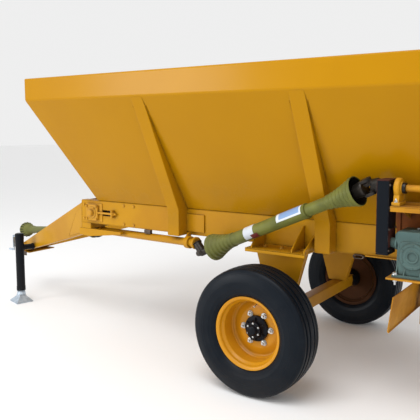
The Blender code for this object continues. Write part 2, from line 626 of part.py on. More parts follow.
# ---------------------------------------------------------------- wheels
def wheel(side, sign):
    """Tyre, dished rim and hub, each with its origin on the axle's line."""
    centre = (0, sign * TRACK / 2, TYRE_R)
    outward = (0, sign, 0)
    half = TYRE_WIDTH / 2
    bead = SEAT_R + GAP
    tread, crown = half - 0.030, TYRE_R
    outer = [(bead, 0.080), (FLANGE_R + 0.0012, 0.080), (0.224, 0.094), (0.240, 0.106), (0.285, half),
             (0.330, half - 0.003), (0.362, tread + 0.014), (crown - 0.006, tread)]
    inner = [(crown - 0.026, 0.0), (0.347, tread - 0.020), (0.322, half - 0.016), (0.285, half - 0.012),
             (0.246, 0.096), (0.222, 0.072), (bead, 0.066)]
    right = outer + [(crown, tread * 0.55)]
    left = [(r, -w) for r, w in reversed(right)]
    inside = [(r, -w) for r, w in reversed(inner)] + inner[1:]
    turned("tyre_" + side, right + left + inside, centre, RUBBER, outward, 32)
    wall = 0.006
    rim = [(FLANGE_R, 0.0875), (FLANGE_R, 0.0810), (SEAT_R, 0.0805), (SEAT_R, 0.065), (0.188, 0.050), (0.188, -0.054),
           (SEAT_R, -0.068), (SEAT_R, -0.0805), (FLANGE_R, -0.0815), (FLANGE_R, -0.0875), (SEAT_R - wall, -0.0865),
           (SEAT_R - wall, -0.070), (0.182, -0.056), (0.182, -0.046), (0.170, -0.052), (0.140, -0.044), (0.122, -0.040),
           (0.060, -0.040), (0.060, -0.032), (0.122, -0.032), (0.140, -0.036), (0.168, -0.043), (0.182, -0.030),
           (0.182, 0.052), (SEAT_R - wall, 0.070), (SEAT_R - wall, 0.0865)]
    turned("rim_" + side, rim, centre, YELLOW, outward, 32)
    hub = [(0.0, 0.046), (0.030, 0.046), (0.034, 0.018), (0.046, 0.014), (0.050, -0.012), (0.078, -0.016), (0.078, -0.0315),
           (0.0592, -0.0315), (0.0592, -0.046), (0.070, -0.054), (0.060, -0.122), (0.036, -0.127), (0.036, -0.062),
           (0.0, -0.058)]
    turned("hub_" + side, hub, centre, BLACK, outward, 20)


# ---------------------------------------------------------------- the whole machine
for side, sign in (("left", -1), ("right", 1)):
    chassis_rail(side, sign)
    axle_mount(side, sign)
    wheel(side, sign)
    disc(side, sign)
crossmembers()
axle()
hopper()
ribs()
conveyor()
drawbar()
jack()
drive_line()
belt_case()
upper_shaft()
gearboxes()
chain_case()
rear_gate()
beater_housing()
beater()
spinner_frame()
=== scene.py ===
"""Towed manure spreader: a V hopper on two wheels, put together from its chassis to the discs.

Metres, +Z up.  The drawbar points along -X and the left side faces -Y.  Every piece is stated from
the point on the ground under the axle, and moved back by axle_x when it is put on the machine.
"""
import math

import bmesh
import bpy
from mathutils import Matrix, Vector


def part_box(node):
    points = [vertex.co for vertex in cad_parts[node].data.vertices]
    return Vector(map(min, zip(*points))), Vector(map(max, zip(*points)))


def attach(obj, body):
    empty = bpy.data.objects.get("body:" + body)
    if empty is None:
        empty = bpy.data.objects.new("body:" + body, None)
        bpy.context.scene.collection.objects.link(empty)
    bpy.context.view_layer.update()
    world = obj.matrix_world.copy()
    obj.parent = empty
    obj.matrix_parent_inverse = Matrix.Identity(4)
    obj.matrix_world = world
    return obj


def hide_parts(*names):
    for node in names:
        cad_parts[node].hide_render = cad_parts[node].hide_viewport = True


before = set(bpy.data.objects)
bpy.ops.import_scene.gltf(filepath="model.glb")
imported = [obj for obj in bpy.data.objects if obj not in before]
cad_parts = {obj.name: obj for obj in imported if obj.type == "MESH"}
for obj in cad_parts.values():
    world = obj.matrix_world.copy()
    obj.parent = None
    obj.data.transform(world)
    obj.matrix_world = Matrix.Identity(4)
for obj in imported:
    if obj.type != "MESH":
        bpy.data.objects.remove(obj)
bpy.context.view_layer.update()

# ------------------------------------------------------------------ camera, floor and light
# The machine stands on a plain pale floor.  The camera is at head height behind its left side.
# The light is a white room with a soft lamp over the left side and a second one ahead of it.
axle_low, axle_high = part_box("axle_beam")
axle_x = (axle_low.x + axle_high.x) / 2

yaw, pitch, roll = (math.radians(a) for a in (-32.127, 5.547, 0.112))
view_way = Vector((math.sin(yaw) * math.cos(pitch), math.cos(yaw) * math.cos(pitch), -math.sin(pitch)))
level = Vector((math.cos(yaw), -math.sin(yaw), 0))
upright = level.cross(view_way)
across = math.cos(roll) * level + math.sin(roll) * upright
upwards = math.cos(roll) * upright - math.sin(roll) * level
camera = bpy.data.objects.new("camera", bpy.data.cameras.new("camera"))
camera.matrix_world = (Matrix.Translation((axle_x + 1.770, -3.651, 1.548))
                       @ Matrix((across, upwards, -view_way)).transposed().to_4x4())
camera.data.sensor_width = 36
camera.data.lens = 49.92
camera.data.shift_x, camera.data.shift_y = -0.0956, -0.0477
camera.data.clip_end = 200
bpy.context.scene.collection.objects.link(camera)
bpy.context.scene.camera = camera
bpy.context.scene.view_settings.view_transform = "Standard"

bm = bmesh.new()
bmesh.ops.create_grid(bm, x_segments=1, y_segments=1, size=60)
floor_mesh = bpy.data.meshes.new("floor")
bm.to_mesh(floor_mesh)
bm.free()
floor = bpy.data.objects.new("floor", floor_mesh)
bpy.context.scene.collection.objects.link(floor)
floor_finish = bpy.data.materials.new("floor")
floor_finish.use_nodes = True
floor_finish.node_tree.nodes["Principled BSDF"].inputs["Base Color"].default_value = (0.93, 0.93, 0.93, 1)
floor_finish.node_tree.nodes["Principled BSDF"].inputs["Roughness"].default_value = 0.8
floor_mesh.materials.append(floor_finish)

world = bpy.data.worlds.new("room")
world.use_nodes = True
world.node_tree.nodes["Background"].inputs["Color"].default_value = (1.0, 1.0, 1.0, 1)
world.node_tree.nodes["Background"].inputs["Strength"].default_value = 0.86
bpy.context.scene.world = world


def lamp(name, place, aim, size, watts, colour=(1, 1, 1)):
    made = bpy.data.objects.new(name, bpy.data.lights.new(name, "AREA"))
    made.data.shape = "RECTANGLE"
    made.data.size, made.data.size_y = size
    made.data.energy = watts
    made.data.color = colour
    run = Vector(aim) - Vector(place)
    made.matrix_world = Matrix.Translation(place) @ run.to_track_quat("-Z", "Y").to_matrix().to_4x4()
    bpy.context.scene.collection.objects.link(made)


lamp("overhead", (1.0, -4.0, 6.5), (0.3, 0, 1.0), (5, 3), 260)
lamp("front_panel", (-4.8, -7.0, 2.4), (-0.2, 0, 1.6), (2.6, 2.2), 190)

# ------------------------------------------------------------------ chassis rails
# Two pressed channels with their webs outside.  Each carries the take-up block of the conveyor's
# front shaft in a slot at its front end, and the rear shaft's flanged bearing at its rear end.
RAIL_Y, RAIL_W, RAIL_TOP, RAIL_BOTTOM = 0.481, 0.060, 1.027, 0.846
RAIL_FRONT, RAIL_REAR = -1.790, 1.220
CONVEYOR_Z, CONVEYOR_FRONT, CONVEYOR_REAR = 0.935, -1.660, 0.936

# An outline in Y and Z has its depth along X, and an outline in X and Z has its depth along Y.
ALONG = Matrix(((0, 0, 1, 0), (1, 0, 0, 0), (0, 1, 0, 0), (0, 0, 0, 1)))
SIDEWAYS = Matrix(((1, 0, 0, 0), (0, 0, -1, 0), (0, 1, 0, 0), (0, 0, 0, 1)))


def eased(bm, width, segments=2, angle=30):
    """Rounds the sharp edges of a part a little, as sawn, pressed and cast edges are."""
    bmesh.ops.remove_doubles(bm, verts=bm.verts, dist=1e-5)
    bmesh.ops.recalc_face_normals(bm, faces=bm.faces)
    sharp = [e for e in bm.edges if len(e.link_faces) == 2 and e.calc_face_angle() > math.radians(angle)]
    if width and sharp:
        bmesh.ops.bevel(bm, geom=sharp, offset=width, segments=segments, profile=0.5, affect="EDGES",
                        clamp_overlap=True, material=-1)
    return bm


def bar(low, high, ease=0.002, turn=Matrix()):
    """A square-edged bar or block between two corners."""
    low, high = Vector(low), Vector(high)
    bm = bmesh.new()
    size = Vector([abs(d) for d in high - low])
    bmesh.ops.create_cube(bm, size=1, matrix=Matrix.Diagonal((*size, 1)))
    eased(bm, ease)
    bm.transform(turn @ Matrix.Translation((low + high) / 2))
    return bm


def side_on(y):
    """Stands an outline in X and Z on edge at one Y."""
    return Matrix.Translation((0, y, 0)) @ SIDEWAYS


def end_on(x):
    """Stands an outline in Y and Z on edge at one X."""
    return Matrix.Translation((x, 0, 0)) @ ALONG


def toward(start, end):
    """Places local Z along a line, from its start."""
    start, end = Vector(start), Vector(end)
    return (Matrix.Translation(start)
            @ Vector((0, 0, 1)).rotation_difference(end - start).to_matrix().to_4x4())


def outward(x, y, z, way):
    """Places local Z straight out from a point, to the left for -1 and to the right for 1."""
    return toward((x, y, z), (x, y + way, z))


def bolt_circle(place, radius, height, start=0, count=6):
    """Points spaced evenly on a circle round a place's local Z, in degrees from its local X."""
    turns = [math.radians(start + 360 * i / count) for i in range(count)]
    return [place @ Vector((radius * math.cos(turn), radius * math.sin(turn), height)) for turn in turns]


def rod(start, end, radius, end_radius=None, sides=32, ease=0.0015):
    """A round bar or a cone between two points."""
    length = (Vector(end) - Vector(start)).length
    bm = bmesh.new()
    bmesh.ops.create_cone(bm, cap_ends=True, segments=sides, radius1=radius,
                          radius2=radius if end_radius is None else end_radius, depth=length)
    eased(bm, ease, angle=50)
    bm.transform(toward(start, end) @ Matrix.Translation((0, 0, length / 2)))
    return bm


def slab(outline, depth, place=Matrix(), ease=0.002):
    """A flat outline cut from plate, as thick as stated, centred on its own plane."""
    bm = bmesh.new()
    face = bm.faces.new([bm.verts.new((a, b, -depth / 2)) for a, b in outline])
    moved = bmesh.ops.extrude_face_region(bm, geom=[face])["geom"]
    bmesh.ops.translate(bm, verts=[v for v in moved if isinstance(v, bmesh.types.BMVert)],
                        vec=(0, 0, depth))
    eased(bm, ease)
    bm.transform(place)
    return bm


def cut_plate(outlines, depth, place=Matrix(), ease=0.001):
    """A flat outline with holes in it, as thick as stated, centred on its own plane."""
    curve = bpy.data.curves.new("outline", "CURVE")
    curve.dimensions = "2D"
    curve.fill_mode = "BOTH"
    curve.extrude = depth / 2
    for outline in outlines:
        spline = curve.splines.new("POLY")
        spline.points.add(len(outline) - 1)
        spline.use_cyclic_u = True
        for point, (a, b) in zip(spline.points, outline):
            point.co = (a, b, 0, 1)
    flat = bpy.data.objects.new("outline", curve)
    bpy.context.scene.collection.objects.link(flat)
    bpy.context.view_layer.update()
    mesh = bpy.data.meshes.new_from_object(flat.evaluated_get(bpy.context.evaluated_depsgraph_get()))
    bm = bmesh.new()
    bm.from_mesh(mesh)
    bpy.data.objects.remove(flat)
    bpy.data.curves.remove(curve)
    bpy.data.meshes.remove(mesh)
    eased(bm, 0)
    bmesh.ops.dissolve_limit(bm, angle_limit=0.01, verts=bm.verts, edges=bm.edges)
    eased(bm, ease, segments=1)
    bm.transform(place)
    return bm


def arc(centre, radius, start, sweep, steps=8):
    """Points round part of a circle, in degrees."""
    return [(centre[0] + radius * math.cos(math.radians(start + sweep * i / steps)),
             centre[1] + radius * math.sin(math.radians(start + sweep * i / steps)))
            for i in range(steps + 1)]


def turned(profile, place=Matrix(), steps=48):
    """A profile of (radius, height) points turned once round local Z."""
    bm = bmesh.new()
    ring = [bm.verts.new((radius, 0, height)) for radius, height in profile]
    edges = [bm.edges.new(pair) for pair in zip(ring, ring[1:])]
    if profile[0][0] > 0:
        edges.append(bm.edges.new((ring[-1], ring[0])))
    bmesh.ops.spin(bm, geom=ring + edges, cent=(0, 0, 0), axis=(0, 0, 1), angle=2 * math.pi, steps=steps,
                   use_merge=True)
    bmesh.ops.remove_doubles(bm, verts=bm.verts, dist=1e-5)
    bm.transform(place)
    return bm


def bolts(points, way, size=0.016, washer=True, stud=0.0):
    """Hexagon heads or nuts on washers, standing along one direction at each point."""
    bm = bmesh.new()
    for i, point in enumerate(points):
        place = toward(point, Vector(point) + Vector(way)) @ Matrix.Rotation(0.7 * i, 4, "Z")
        if washer:
            bmesh.ops.create_cone(bm, cap_ends=True, segments=14, radius1=size * 0.78, radius2=size * 0.74,
                                  depth=size * 0.16, matrix=place @ Matrix.Translation((0, 0, size * 0.08)))
        bmesh.ops.create_cone(bm, cap_ends=True, segments=6, radius1=size * 0.58, radius2=size * 0.58,
                              depth=size * 0.40, matrix=place @ Matrix.Translation((0, 0, size * 0.34)))
        bmesh.ops.create_cone(bm, cap_ends=True, segments=12, radius1=size * 0.48, radius2=size * 0.38,
                              depth=size * 0.06, matrix=place @ Matrix.Translation((0, 0, size * 0.57)))
        if stud:
            bmesh.ops.create_cone(bm, cap_ends=True, segments=10, radius1=size * 0.32, radius2=size * 0.27,
                                  depth=stud,
                                  matrix=place @ Matrix.Translation((0, 0, size * 0.6 + stud / 2)))
    return bm


def weld(start, end, radius=0.004):
    """A row of overlapping beads where two plates meet."""
    start, end = Vector(start), Vector(end)
    run = (end - start).length
    count = max(2, int(run / (radius * 1.5)))
    stretch = Matrix.Diagonal((1, 1, 0.8, 1))
    bm = bmesh.new()
    for i in range(count + 1):
        place = (toward(start, end) @ Matrix.Translation((0, 0, run * i / count))
                 @ Matrix.Rotation(0.6 * i, 4, "Z"))
        bmesh.ops.create_icosphere(bm, subdivisions=1, radius=radius, matrix=place @ stretch)
    return bm


def piece(name, parts, finish, body="machine", stands_for=(), crisp=32):
    """Joins the parts of one piece, gives it its finish and puts it on its body."""
    mesh = bpy.data.meshes.new(name)
    bm = bmesh.new()
    for part in parts:
        bmesh.ops.recalc_face_normals(part, faces=part.faces)
        part.to_mesh(mesh)
        part.free()
        bm.from_mesh(mesh)
    bm.transform(Matrix.Translation((axle_x, 0, 0)))
    bm.to_mesh(mesh)
    bm.free()
    mesh.materials.append(finish)
    mesh.shade_smooth()
    mesh.set_sharp_from_angle(angle=math.radians(crisp))
    made = bpy.data.objects.new(name, mesh)
    bpy.context.scene.collection.objects.link(made)
    flat_faces = made.modifiers.new("flat_faces", "WEIGHTED_NORMAL")
    flat_faces.keep_sharp = True
    if stands_for:
        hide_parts(*stands_for)
    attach(made, body)
    return made


def effect(name, numbers, result):
    """A named group of shader nodes: a place and numbers go in, and a mask or a height comes out."""
    group = bpy.data.node_groups.new(name, "ShaderNodeTree")
    group.interface.new_socket("Place", in_out="INPUT", socket_type="NodeSocketVector")
    for label, value in numbers.items():
        socket = group.interface.new_socket(label, in_out="INPUT", socket_type="NodeSocketFloat")
        socket.default_value = value
    group.interface.new_socket(result, in_out="OUTPUT", socket_type="NodeSocketFloat")
    return group, group.nodes.new("NodeGroupInput").outputs, group.nodes.new("NodeGroupOutput").inputs


def feed(tree, socket, value):
    """Links a socket to another node's output, or sets it to a plain value."""
    if isinstance(value, bpy.types.NodeSocket):
        tree.links.new(value, socket)
    else:
        socket.default_value = value


def node(tree, kind, settings=(), **inputs):
    """Adds a node, sets its options, and sets or links its inputs by name, or by number as i0 or i1."""
    made = tree.nodes.new("ShaderNode" + kind)
    for option, value in dict(settings).items():
        setattr(made, option, value)
    for label, value in inputs.items():
        key = {"i0": 0, "i1": 1}.get(label, label.replace("_", " "))
        feed(tree, made.inputs[key], value)
    return made


def mixed(tree, how_much, first, second):
    """One colour over another by a mask."""
    made = node(tree, "Mix", {"data_type": "RGBA"}, i0=how_much)
    for socket, value in ((made.inputs[6], first), (made.inputs[7], second)):
        feed(tree, socket, (*value, 1) if isinstance(value, tuple) else value)
    return made.outputs[2]


def noise(tree, place, scale, detail, roughness):
    return node(tree, "TexNoise", Vector=place, Scale=scale, Detail=detail,
                Roughness=roughness).outputs["Fac"]


def sums(tree, operation, first, second, clamp=False):
    return node(tree, "Math", {"operation": operation, "use_clamp": clamp}, i0=first, i1=second).outputs[0]


def spread(tree, value, low, high, to_low=0.0, to_high=1.0):
    return node(tree, "MapRange", {"clamp": True}, Value=value, From_Min=low, From_Max=high, To_Min=to_low,
                To_Max=to_high).outputs[0]


# Settled dust: thicker low down and on faces that look upwards, broken into patches and specks.
settled_dust, given, out = effect("settled_dust", {"Low": 0.0, "High": 1.0, "Upward": 1.0, "Amount": 0.5},
                                  "Mask")
tree = settled_dust
height = node(tree, "SeparateXYZ", Vector=given["Place"]).outputs["Z"]
low_down = spread(tree, height, given["Low"], given["High"], 1.0, 0.0)
facing_up = node(tree, "SeparateXYZ", Vector=node(tree, "NewGeometry").outputs["Normal"]).outputs["Z"]
facing_up = sums(tree, "MULTIPLY", spread(tree, facing_up, 0.1, 0.95), given["Upward"])
patches = noise(tree, given["Place"], 3.5, 5.0, 0.62)
specks = noise(tree, given["Place"], 55.0, 3.0, 0.7)
settled = sums(tree, "ADD", low_down, facing_up)
settled = sums(tree, "MULTIPLY", settled, spread(tree, patches, 0.38, 0.66, 0.25, 1.0))
settled = sums(tree, "MULTIPLY", settled, spread(tree, specks, 0.30, 0.62, 0.55, 1.0))
tree.links.new(sums(tree, "MULTIPLY", settled, given["Amount"], True), out["Mask"])

# Painted shade and grime held in corners, beside welds and round bolt heads: ambient occlusion finds the
# hemmed-in places, and noise breaks the darkening into smears.
occlusion_shade_and_grime, given, out = effect("occlusion_shade_and_grime", {"Reach": 0.05, "Amount": 0.6}, "Mask")
tree = occlusion_shade_and_grime
hollow = node(tree, "AmbientOcclusion", {"samples": 4}, Distance=given["Reach"]).outputs["AO"]
hollow = spread(tree, hollow, 0.35, 0.92, 1.0, 0.0)
smears = noise(tree, given["Place"], 14.0, 4.0, 0.65)
hollow = sums(tree, "MULTIPLY", hollow, spread(tree, smears, 0.35, 0.68, 0.2, 1.0))
tree.links.new(sums(tree, "MULTIPLY", hollow, given["Amount"], True), out["Mask"])

# Paint rubbed thin and chipped along edges.
worn_edges, given, out = effect("worn_edges", {"Width": 0.004, "Amount": 0.5}, "Mask")
tree = worn_edges
rounded = node(tree, "Bevel", {"samples": 3}, Radius=given["Width"]).outputs["Normal"]
straight = node(tree, "NewGeometry").outputs["Normal"]
edge = node(tree, "VectorMath", {"operation": "DOT_PRODUCT"}, i0=rounded, i1=straight).outputs["Value"]
edge = spread(tree, edge, 0.80, 0.97, 1.0, 0.0)
chips = noise(tree, given["Place"], 38.0, 5.0, 0.7)
edge = sums(tree, "MULTIPLY", edge, spread(tree, chips, 0.50, 0.60))
tree.links.new(sums(tree, "MULTIPLY", edge, given["Amount"], True), out["Mask"])

# The surface itself: long waves of sheet metal, the orange peel of sprayed paint, or cast grain.
surface, given, out = effect("surface",
                             {"Waves": 1.6, "Wave Height": 1.0, "Grain": 160.0, "Grain Height": 0.1},
                             "Height")
tree = surface
waves = noise(tree, given["Place"], given["Waves"], 1.5, 0.4)
grain = noise(tree, given["Place"], given["Grain"], 2.0, 0.5)
tree.links.new(sums(tree, "ADD", sums(tree, "MULTIPLY", waves, given["Wave Height"]),
                    sums(tree, "MULTIPLY", grain, given["Grain Height"])), out["Height"])


def place_group(tree, group, **values):
    made = tree.nodes.new("ShaderNodeGroup")
    made.node_tree = group
    for label, value in values.items():
        feed(tree, made.inputs[label.replace("_", " ")], value)
    return made.outputs[0]


def finish(name, colour, shade, gloss=(0.25, 0.5), shine=0.25, metal=0.0, coat=0.0, coat_gloss=0.12,
           bump=0.25, relief=0.004, waves=(1.6, 1.0), grain=(160.0, 0.1), tone=2.2,
           dust=(0.0, 1.0, 0.5, 0.4), dust_colour=(0.30, 0.20, 0.10), shade_and_grime=(0.05, 0.5),
           shade_and_grime_colour=(0.045, 0.026, 0.012), wear=(0.004, 0.4), wear_colour=(0.10, 0.07, 0.05)):
    """A finish: its colour in two shades, its gloss, its relief, and the dust, painted shade with grime in
    its corners, and wear on it.
    """
    made = bpy.data.materials.new(name)
    made.use_nodes = True
    tree = made.node_tree
    shader = tree.nodes["Principled BSDF"]
    place = node(tree, "TexCoord").outputs["Object"]
    clouds = noise(tree, place, tone, 4.0, 0.55)
    seen = mixed(tree, spread(tree, clouds, 0.35, 0.68), colour, shade)
    rough = spread(tree, clouds, 0.3, 0.7, gloss[0], gloss[0] * 1.25)
    if wear:
        chips = place_group(tree, worn_edges, Place=place, Width=wear[0], Amount=wear[1])
        seen = mixed(tree, chips, seen, wear_colour)
    # Painted shade: hemmed-in corners darken towards the corner colour, with grime there too, and turn
    # rougher.
    if shade_and_grime:
        corners = place_group(tree, occlusion_shade_and_grime, Place=place, Reach=shade_and_grime[0], Amount=shade_and_grime[1])
        seen = mixed(tree, corners, seen, shade_and_grime_colour)
        rough = sums(tree, "ADD", rough, sums(tree, "MULTIPLY", corners, 0.35), True)
    if dust:
        film = place_group(tree, settled_dust, Place=place, Low=dust[0], High=dust[1], Upward=dust[2],
                           Amount=dust[3])
        seen = mixed(tree, film, seen, dust_colour)
        rough = sums(tree, "ADD", rough, sums(tree, "MULTIPLY", film, gloss[1]), True)
    tree.links.new(seen, shader.inputs["Base Color"])
    tree.links.new(rough, shader.inputs["Roughness"])
    shader.inputs["Metallic"].default_value = metal
    shader.inputs["Specular IOR Level"].default_value = shine
    shader.inputs["Coat Weight"].default_value = coat
    shader.inputs["Coat Roughness"].default_value = coat_gloss
    skin = place_group(tree, surface, Place=place, Waves=waves[0], Wave_Height=waves[1], Grain=grain[0],
                       Grain_Height=grain[1])
    lifted = node(tree, "Bump", Strength=bump, Distance=relief, Height=skin).outputs["Normal"]
    tree.links.new(lifted, shader.inputs["Normal"])
    return made


frame_paint = finish("chassis_yellow", (0.50, 0.245, 0.003), (0.42, 0.190, 0.003), gloss=(0.30, 0.4),
                     shine=0.15, coat=0.02, waves=(3.0, 1.0), dust=(0.25, 0.85, 0.6, 0.36),
                     dust_colour=(0.17, 0.075, 0.018), shade_and_grime=(0.05, 0.75))
casting_yellow = finish("bearing_yellow", (0.58, 0.285, 0.006), (0.46, 0.205, 0.005), gloss=(0.35, 0.4),
                        shine=0.2, waves=(8.0, 1.0), grain=(300.0, 0.5), bump=0.45,
                        dust=(0.3, 1.3, 0.7, 0.4), shade_and_grime=(0.02, 0.8))
bright_zinc = finish("bright_zinc", (0.66, 0.68, 0.68), (0.50, 0.52, 0.53), gloss=(0.28, 0.4), metal=0.95,
                     tone=40.0, waves=(20.0, 0.4), grain=(500.0, 0.3), wear=None,
                     dust=(0.0, 1.2, 0.5, 0.25), shade_and_grime=(0.01, 0.4))
dark_steel = finish("dark_steel", (0.11, 0.085, 0.07), (0.055, 0.040, 0.034), gloss=(0.38, 0.4), metal=0.75,
                    tone=12.0, waves=(10.0, 0.6), grain=(260.0, 0.6), bump=0.4, wear=(0.003, 0.3),
                    wear_colour=(0.35, 0.30, 0.27), dust=(0.0, 1.2, 0.6, 0.5),
                    dust_colour=(0.13, 0.075, 0.04), shade_and_grime=(0.02, 0.6))

for side, sign in (("left", -1), ("right", 1)):
    web = sign * (RAIL_Y - 0.004)
    outline = [(RAIL_FRONT, RAIL_BOTTOM), (RAIL_REAR, RAIL_BOTTOM), (RAIL_REAR, RAIL_TOP),
               (RAIL_FRONT, RAIL_TOP)]
    slot = arc((-1.470, CONVEYOR_Z), 0.022, -90, 180) + arc((-1.700, CONVEYOR_Z), 0.022, 90, 180)
    hole = arc((CONVEYOR_REAR, CONVEYOR_Z), 0.026, 0, 345, 23)
    ys = sorted((sign * RAIL_Y, sign * (RAIL_Y - RAIL_W)))
    parts = [cut_plate([outline, slot, hole], 0.008, side_on(web))]
    for low, high in ((RAIL_BOTTOM, RAIL_BOTTOM + 0.008), (RAIL_TOP - 0.008, RAIL_TOP)):
        parts.append(bar((RAIL_FRONT, ys[0], low), (RAIL_REAR, ys[1], high), 0.0035))
    for x in (RAIL_FRONT + 0.006, RAIL_REAR - 0.006):
        parts.append(bar((x - 0.005, ys[0] + 0.004, RAIL_BOTTOM + 0.006),
                         (x + 0.005, ys[1] - 0.004, RAIL_TOP - 0.006), 0.001))
    piece("rail_" + side, parts, frame_paint, stands_for=["chassis_rail_" + side])

    out_y = sign * RAIL_Y
    block = [bar((-1.735, out_y - sign * 0.002, 0.866), (-1.565, out_y + sign * 0.007, 1.004), 0.003),
             slab([(-1.722, 0.886), (-1.700, 0.872), (-1.620, 0.872), (-1.598, 0.886), (-1.598, 0.984),
                   (-1.620, 0.998), (-1.700, 0.998), (-1.722, 0.984)], 0.020, side_on(out_y + sign * 0.015),
                  0.004),
             turned([(0, 0.054), (0.020, 0.053), (0.026, 0.048), (0.027, 0.030), (0.044, 0.030),
                     (0.049, 0.024), (0.052, 0.010), (0.052, 0), (0, 0)],
                    outward(CONVEYOR_FRONT, out_y, CONVEYOR_Z, sign)),
             bar((-1.452, out_y - sign * 0.001, 0.905), (-1.440, out_y + sign * 0.030, 0.965), 0.002),
             turned([(0, 0.024), (0.022, 0.024), (0.024, 0.030), (0.036, 0.028), (0.048, 0.014),
                     (0.052, 0.0), (0, 0)], outward(CONVEYOR_REAR, out_y, CONVEYOR_Z, sign))]
    piece("conveyor_bearings_" + side, block, casting_yellow)
    off_side = (0, sign, 0)
    screws = [rod((-1.60, out_y + sign * 0.015, CONVEYOR_Z), (-1.408, out_y + sign * 0.015, CONVEYOR_Z),
                  0.008, sides=16), bolts([(-1.440, out_y + sign * 0.015, CONVEYOR_Z)], (1, 0, 0), 0.024),
              bolts([(-1.710, out_y + sign * 0.025, 0.885), (-1.710, out_y + sign * 0.025, 0.985),
                     (-1.610, out_y + sign * 0.025, 0.885), (-1.610, out_y + sign * 0.025, 0.985)],
                    off_side, 0.016),
              bolts([(-1.34, out_y, 0.865), (-1.24, out_y, 0.865), (-1.34, out_y, 1.005),
                     (-1.24, out_y, 1.005), (-1.765, out_y, 0.880), (-1.765, out_y, 0.990)], off_side,
                    0.015),
              rod((CONVEYOR_FRONT + 0.030, out_y + sign * 0.030, 0.965),
                  (CONVEYOR_FRONT + 0.034, out_y + sign * 0.040, 0.974), 0.004, 0.0025, 10)]
    piece("take_up_screws_" + side, screws, casting_yellow)

# ------------------------------------------------------------------ cross-members
# A deep angle closes the rails' front ends, and a flat box section ties their rear ends.  Hooks sit along
# the rails' lower flanges, and narrow strips in a lighter yellow along them are a painted highlight on the
# flange edges.
front = RAIL_FRONT - 0.0004
under = RAIL_BOTTOM - 0.0004
angle = [(front - 0.008, under - 0.045), (front + 0.09, under - 0.045), (front + 0.09, under),
         (front, under), (front, RAIL_TOP - 0.004), (front - 0.008, RAIL_TOP - 0.004)]
piece("front_cross_angle",
      [slab(angle, 2 * RAIL_Y, SIDEWAYS, 0.003),
       weld((front - 0.008, -RAIL_Y + 0.01, under + 0.002), (front - 0.008, -0.30, under + 0.002)),
       weld((front - 0.008, 0.30, under + 0.002), (front - 0.008, RAIL_Y - 0.01, under + 0.002))],
      frame_paint, stands_for=["crossmember_front"])
hooks = []
for sign in (-1, 1):
    loop = [arc((x, RAIL_BOTTOM - 0.009), r, turn, 180, 8) for r in (0.0125, 0.0075) for x,
            turn in ((0.550, -90), (0.512, 90))]
    hooks += [cut_plate([loop[0] + loop[1], loop[2] + loop[3]], 0.022, side_on(sign * 0.492)),
              bar((-1.135, sign * 0.476 - 0.012, under - 0.030), (-1.075, sign * 0.476 + 0.012, under),
                  0.003)]
piece("rail_hooks", hooks, dark_steel)
# Narrow lips in a lighter yellow: a painted highlight along the lower flanges' edges.
piece("rail_edge_highlight_strips",
      [bar((0.575, sign * 0.4915 - 0.0105, RAIL_BOTTOM - 0.003),
           (0.806, sign * 0.4915 + 0.0105, RAIL_BOTTOM + 0.004), 0.0015) for sign in (-1, 1)],
      casting_yellow)
piece("rear_cross_box", [bar((0.845, -0.470, under - 0.045), (0.925, 0.470, under), 0.006)], frame_paint,
      stands_for=["crossmember_rear"])

# ------------------------------------------------------------------ axle and its hangers
# A square tube with turned stubs, hung from the rails by folded plates.  Outside each rail, three
# tapering gussets stand on a shelf that reaches out past the hanger.
AXLE_Z = 0.386
half = 0.0425
axle_parts = [bar((-half, -0.640, AXLE_Z - half), (half, 0.640, AXLE_Z + half), 0.008)]
for sign in (-1, 1):
    axle_parts += [rod((0, sign * 0.630, AXLE_Z), (0, sign * 0.652, AXLE_Z), 0.040),
                   rod((0, sign * 0.630, AXLE_Z), (0, sign * 0.713, AXLE_Z), 0.0278),
                   weld((-half, sign * 0.640, AXLE_Z - half), (half, sign * 0.640, AXLE_Z - half), 0.003),
                   weld((-half, sign * 0.640, AXLE_Z + half), (half, sign * 0.640, AXLE_Z + half), 0.003)]
piece("axle", axle_parts, frame_paint, stands_for=["axle_beam"])

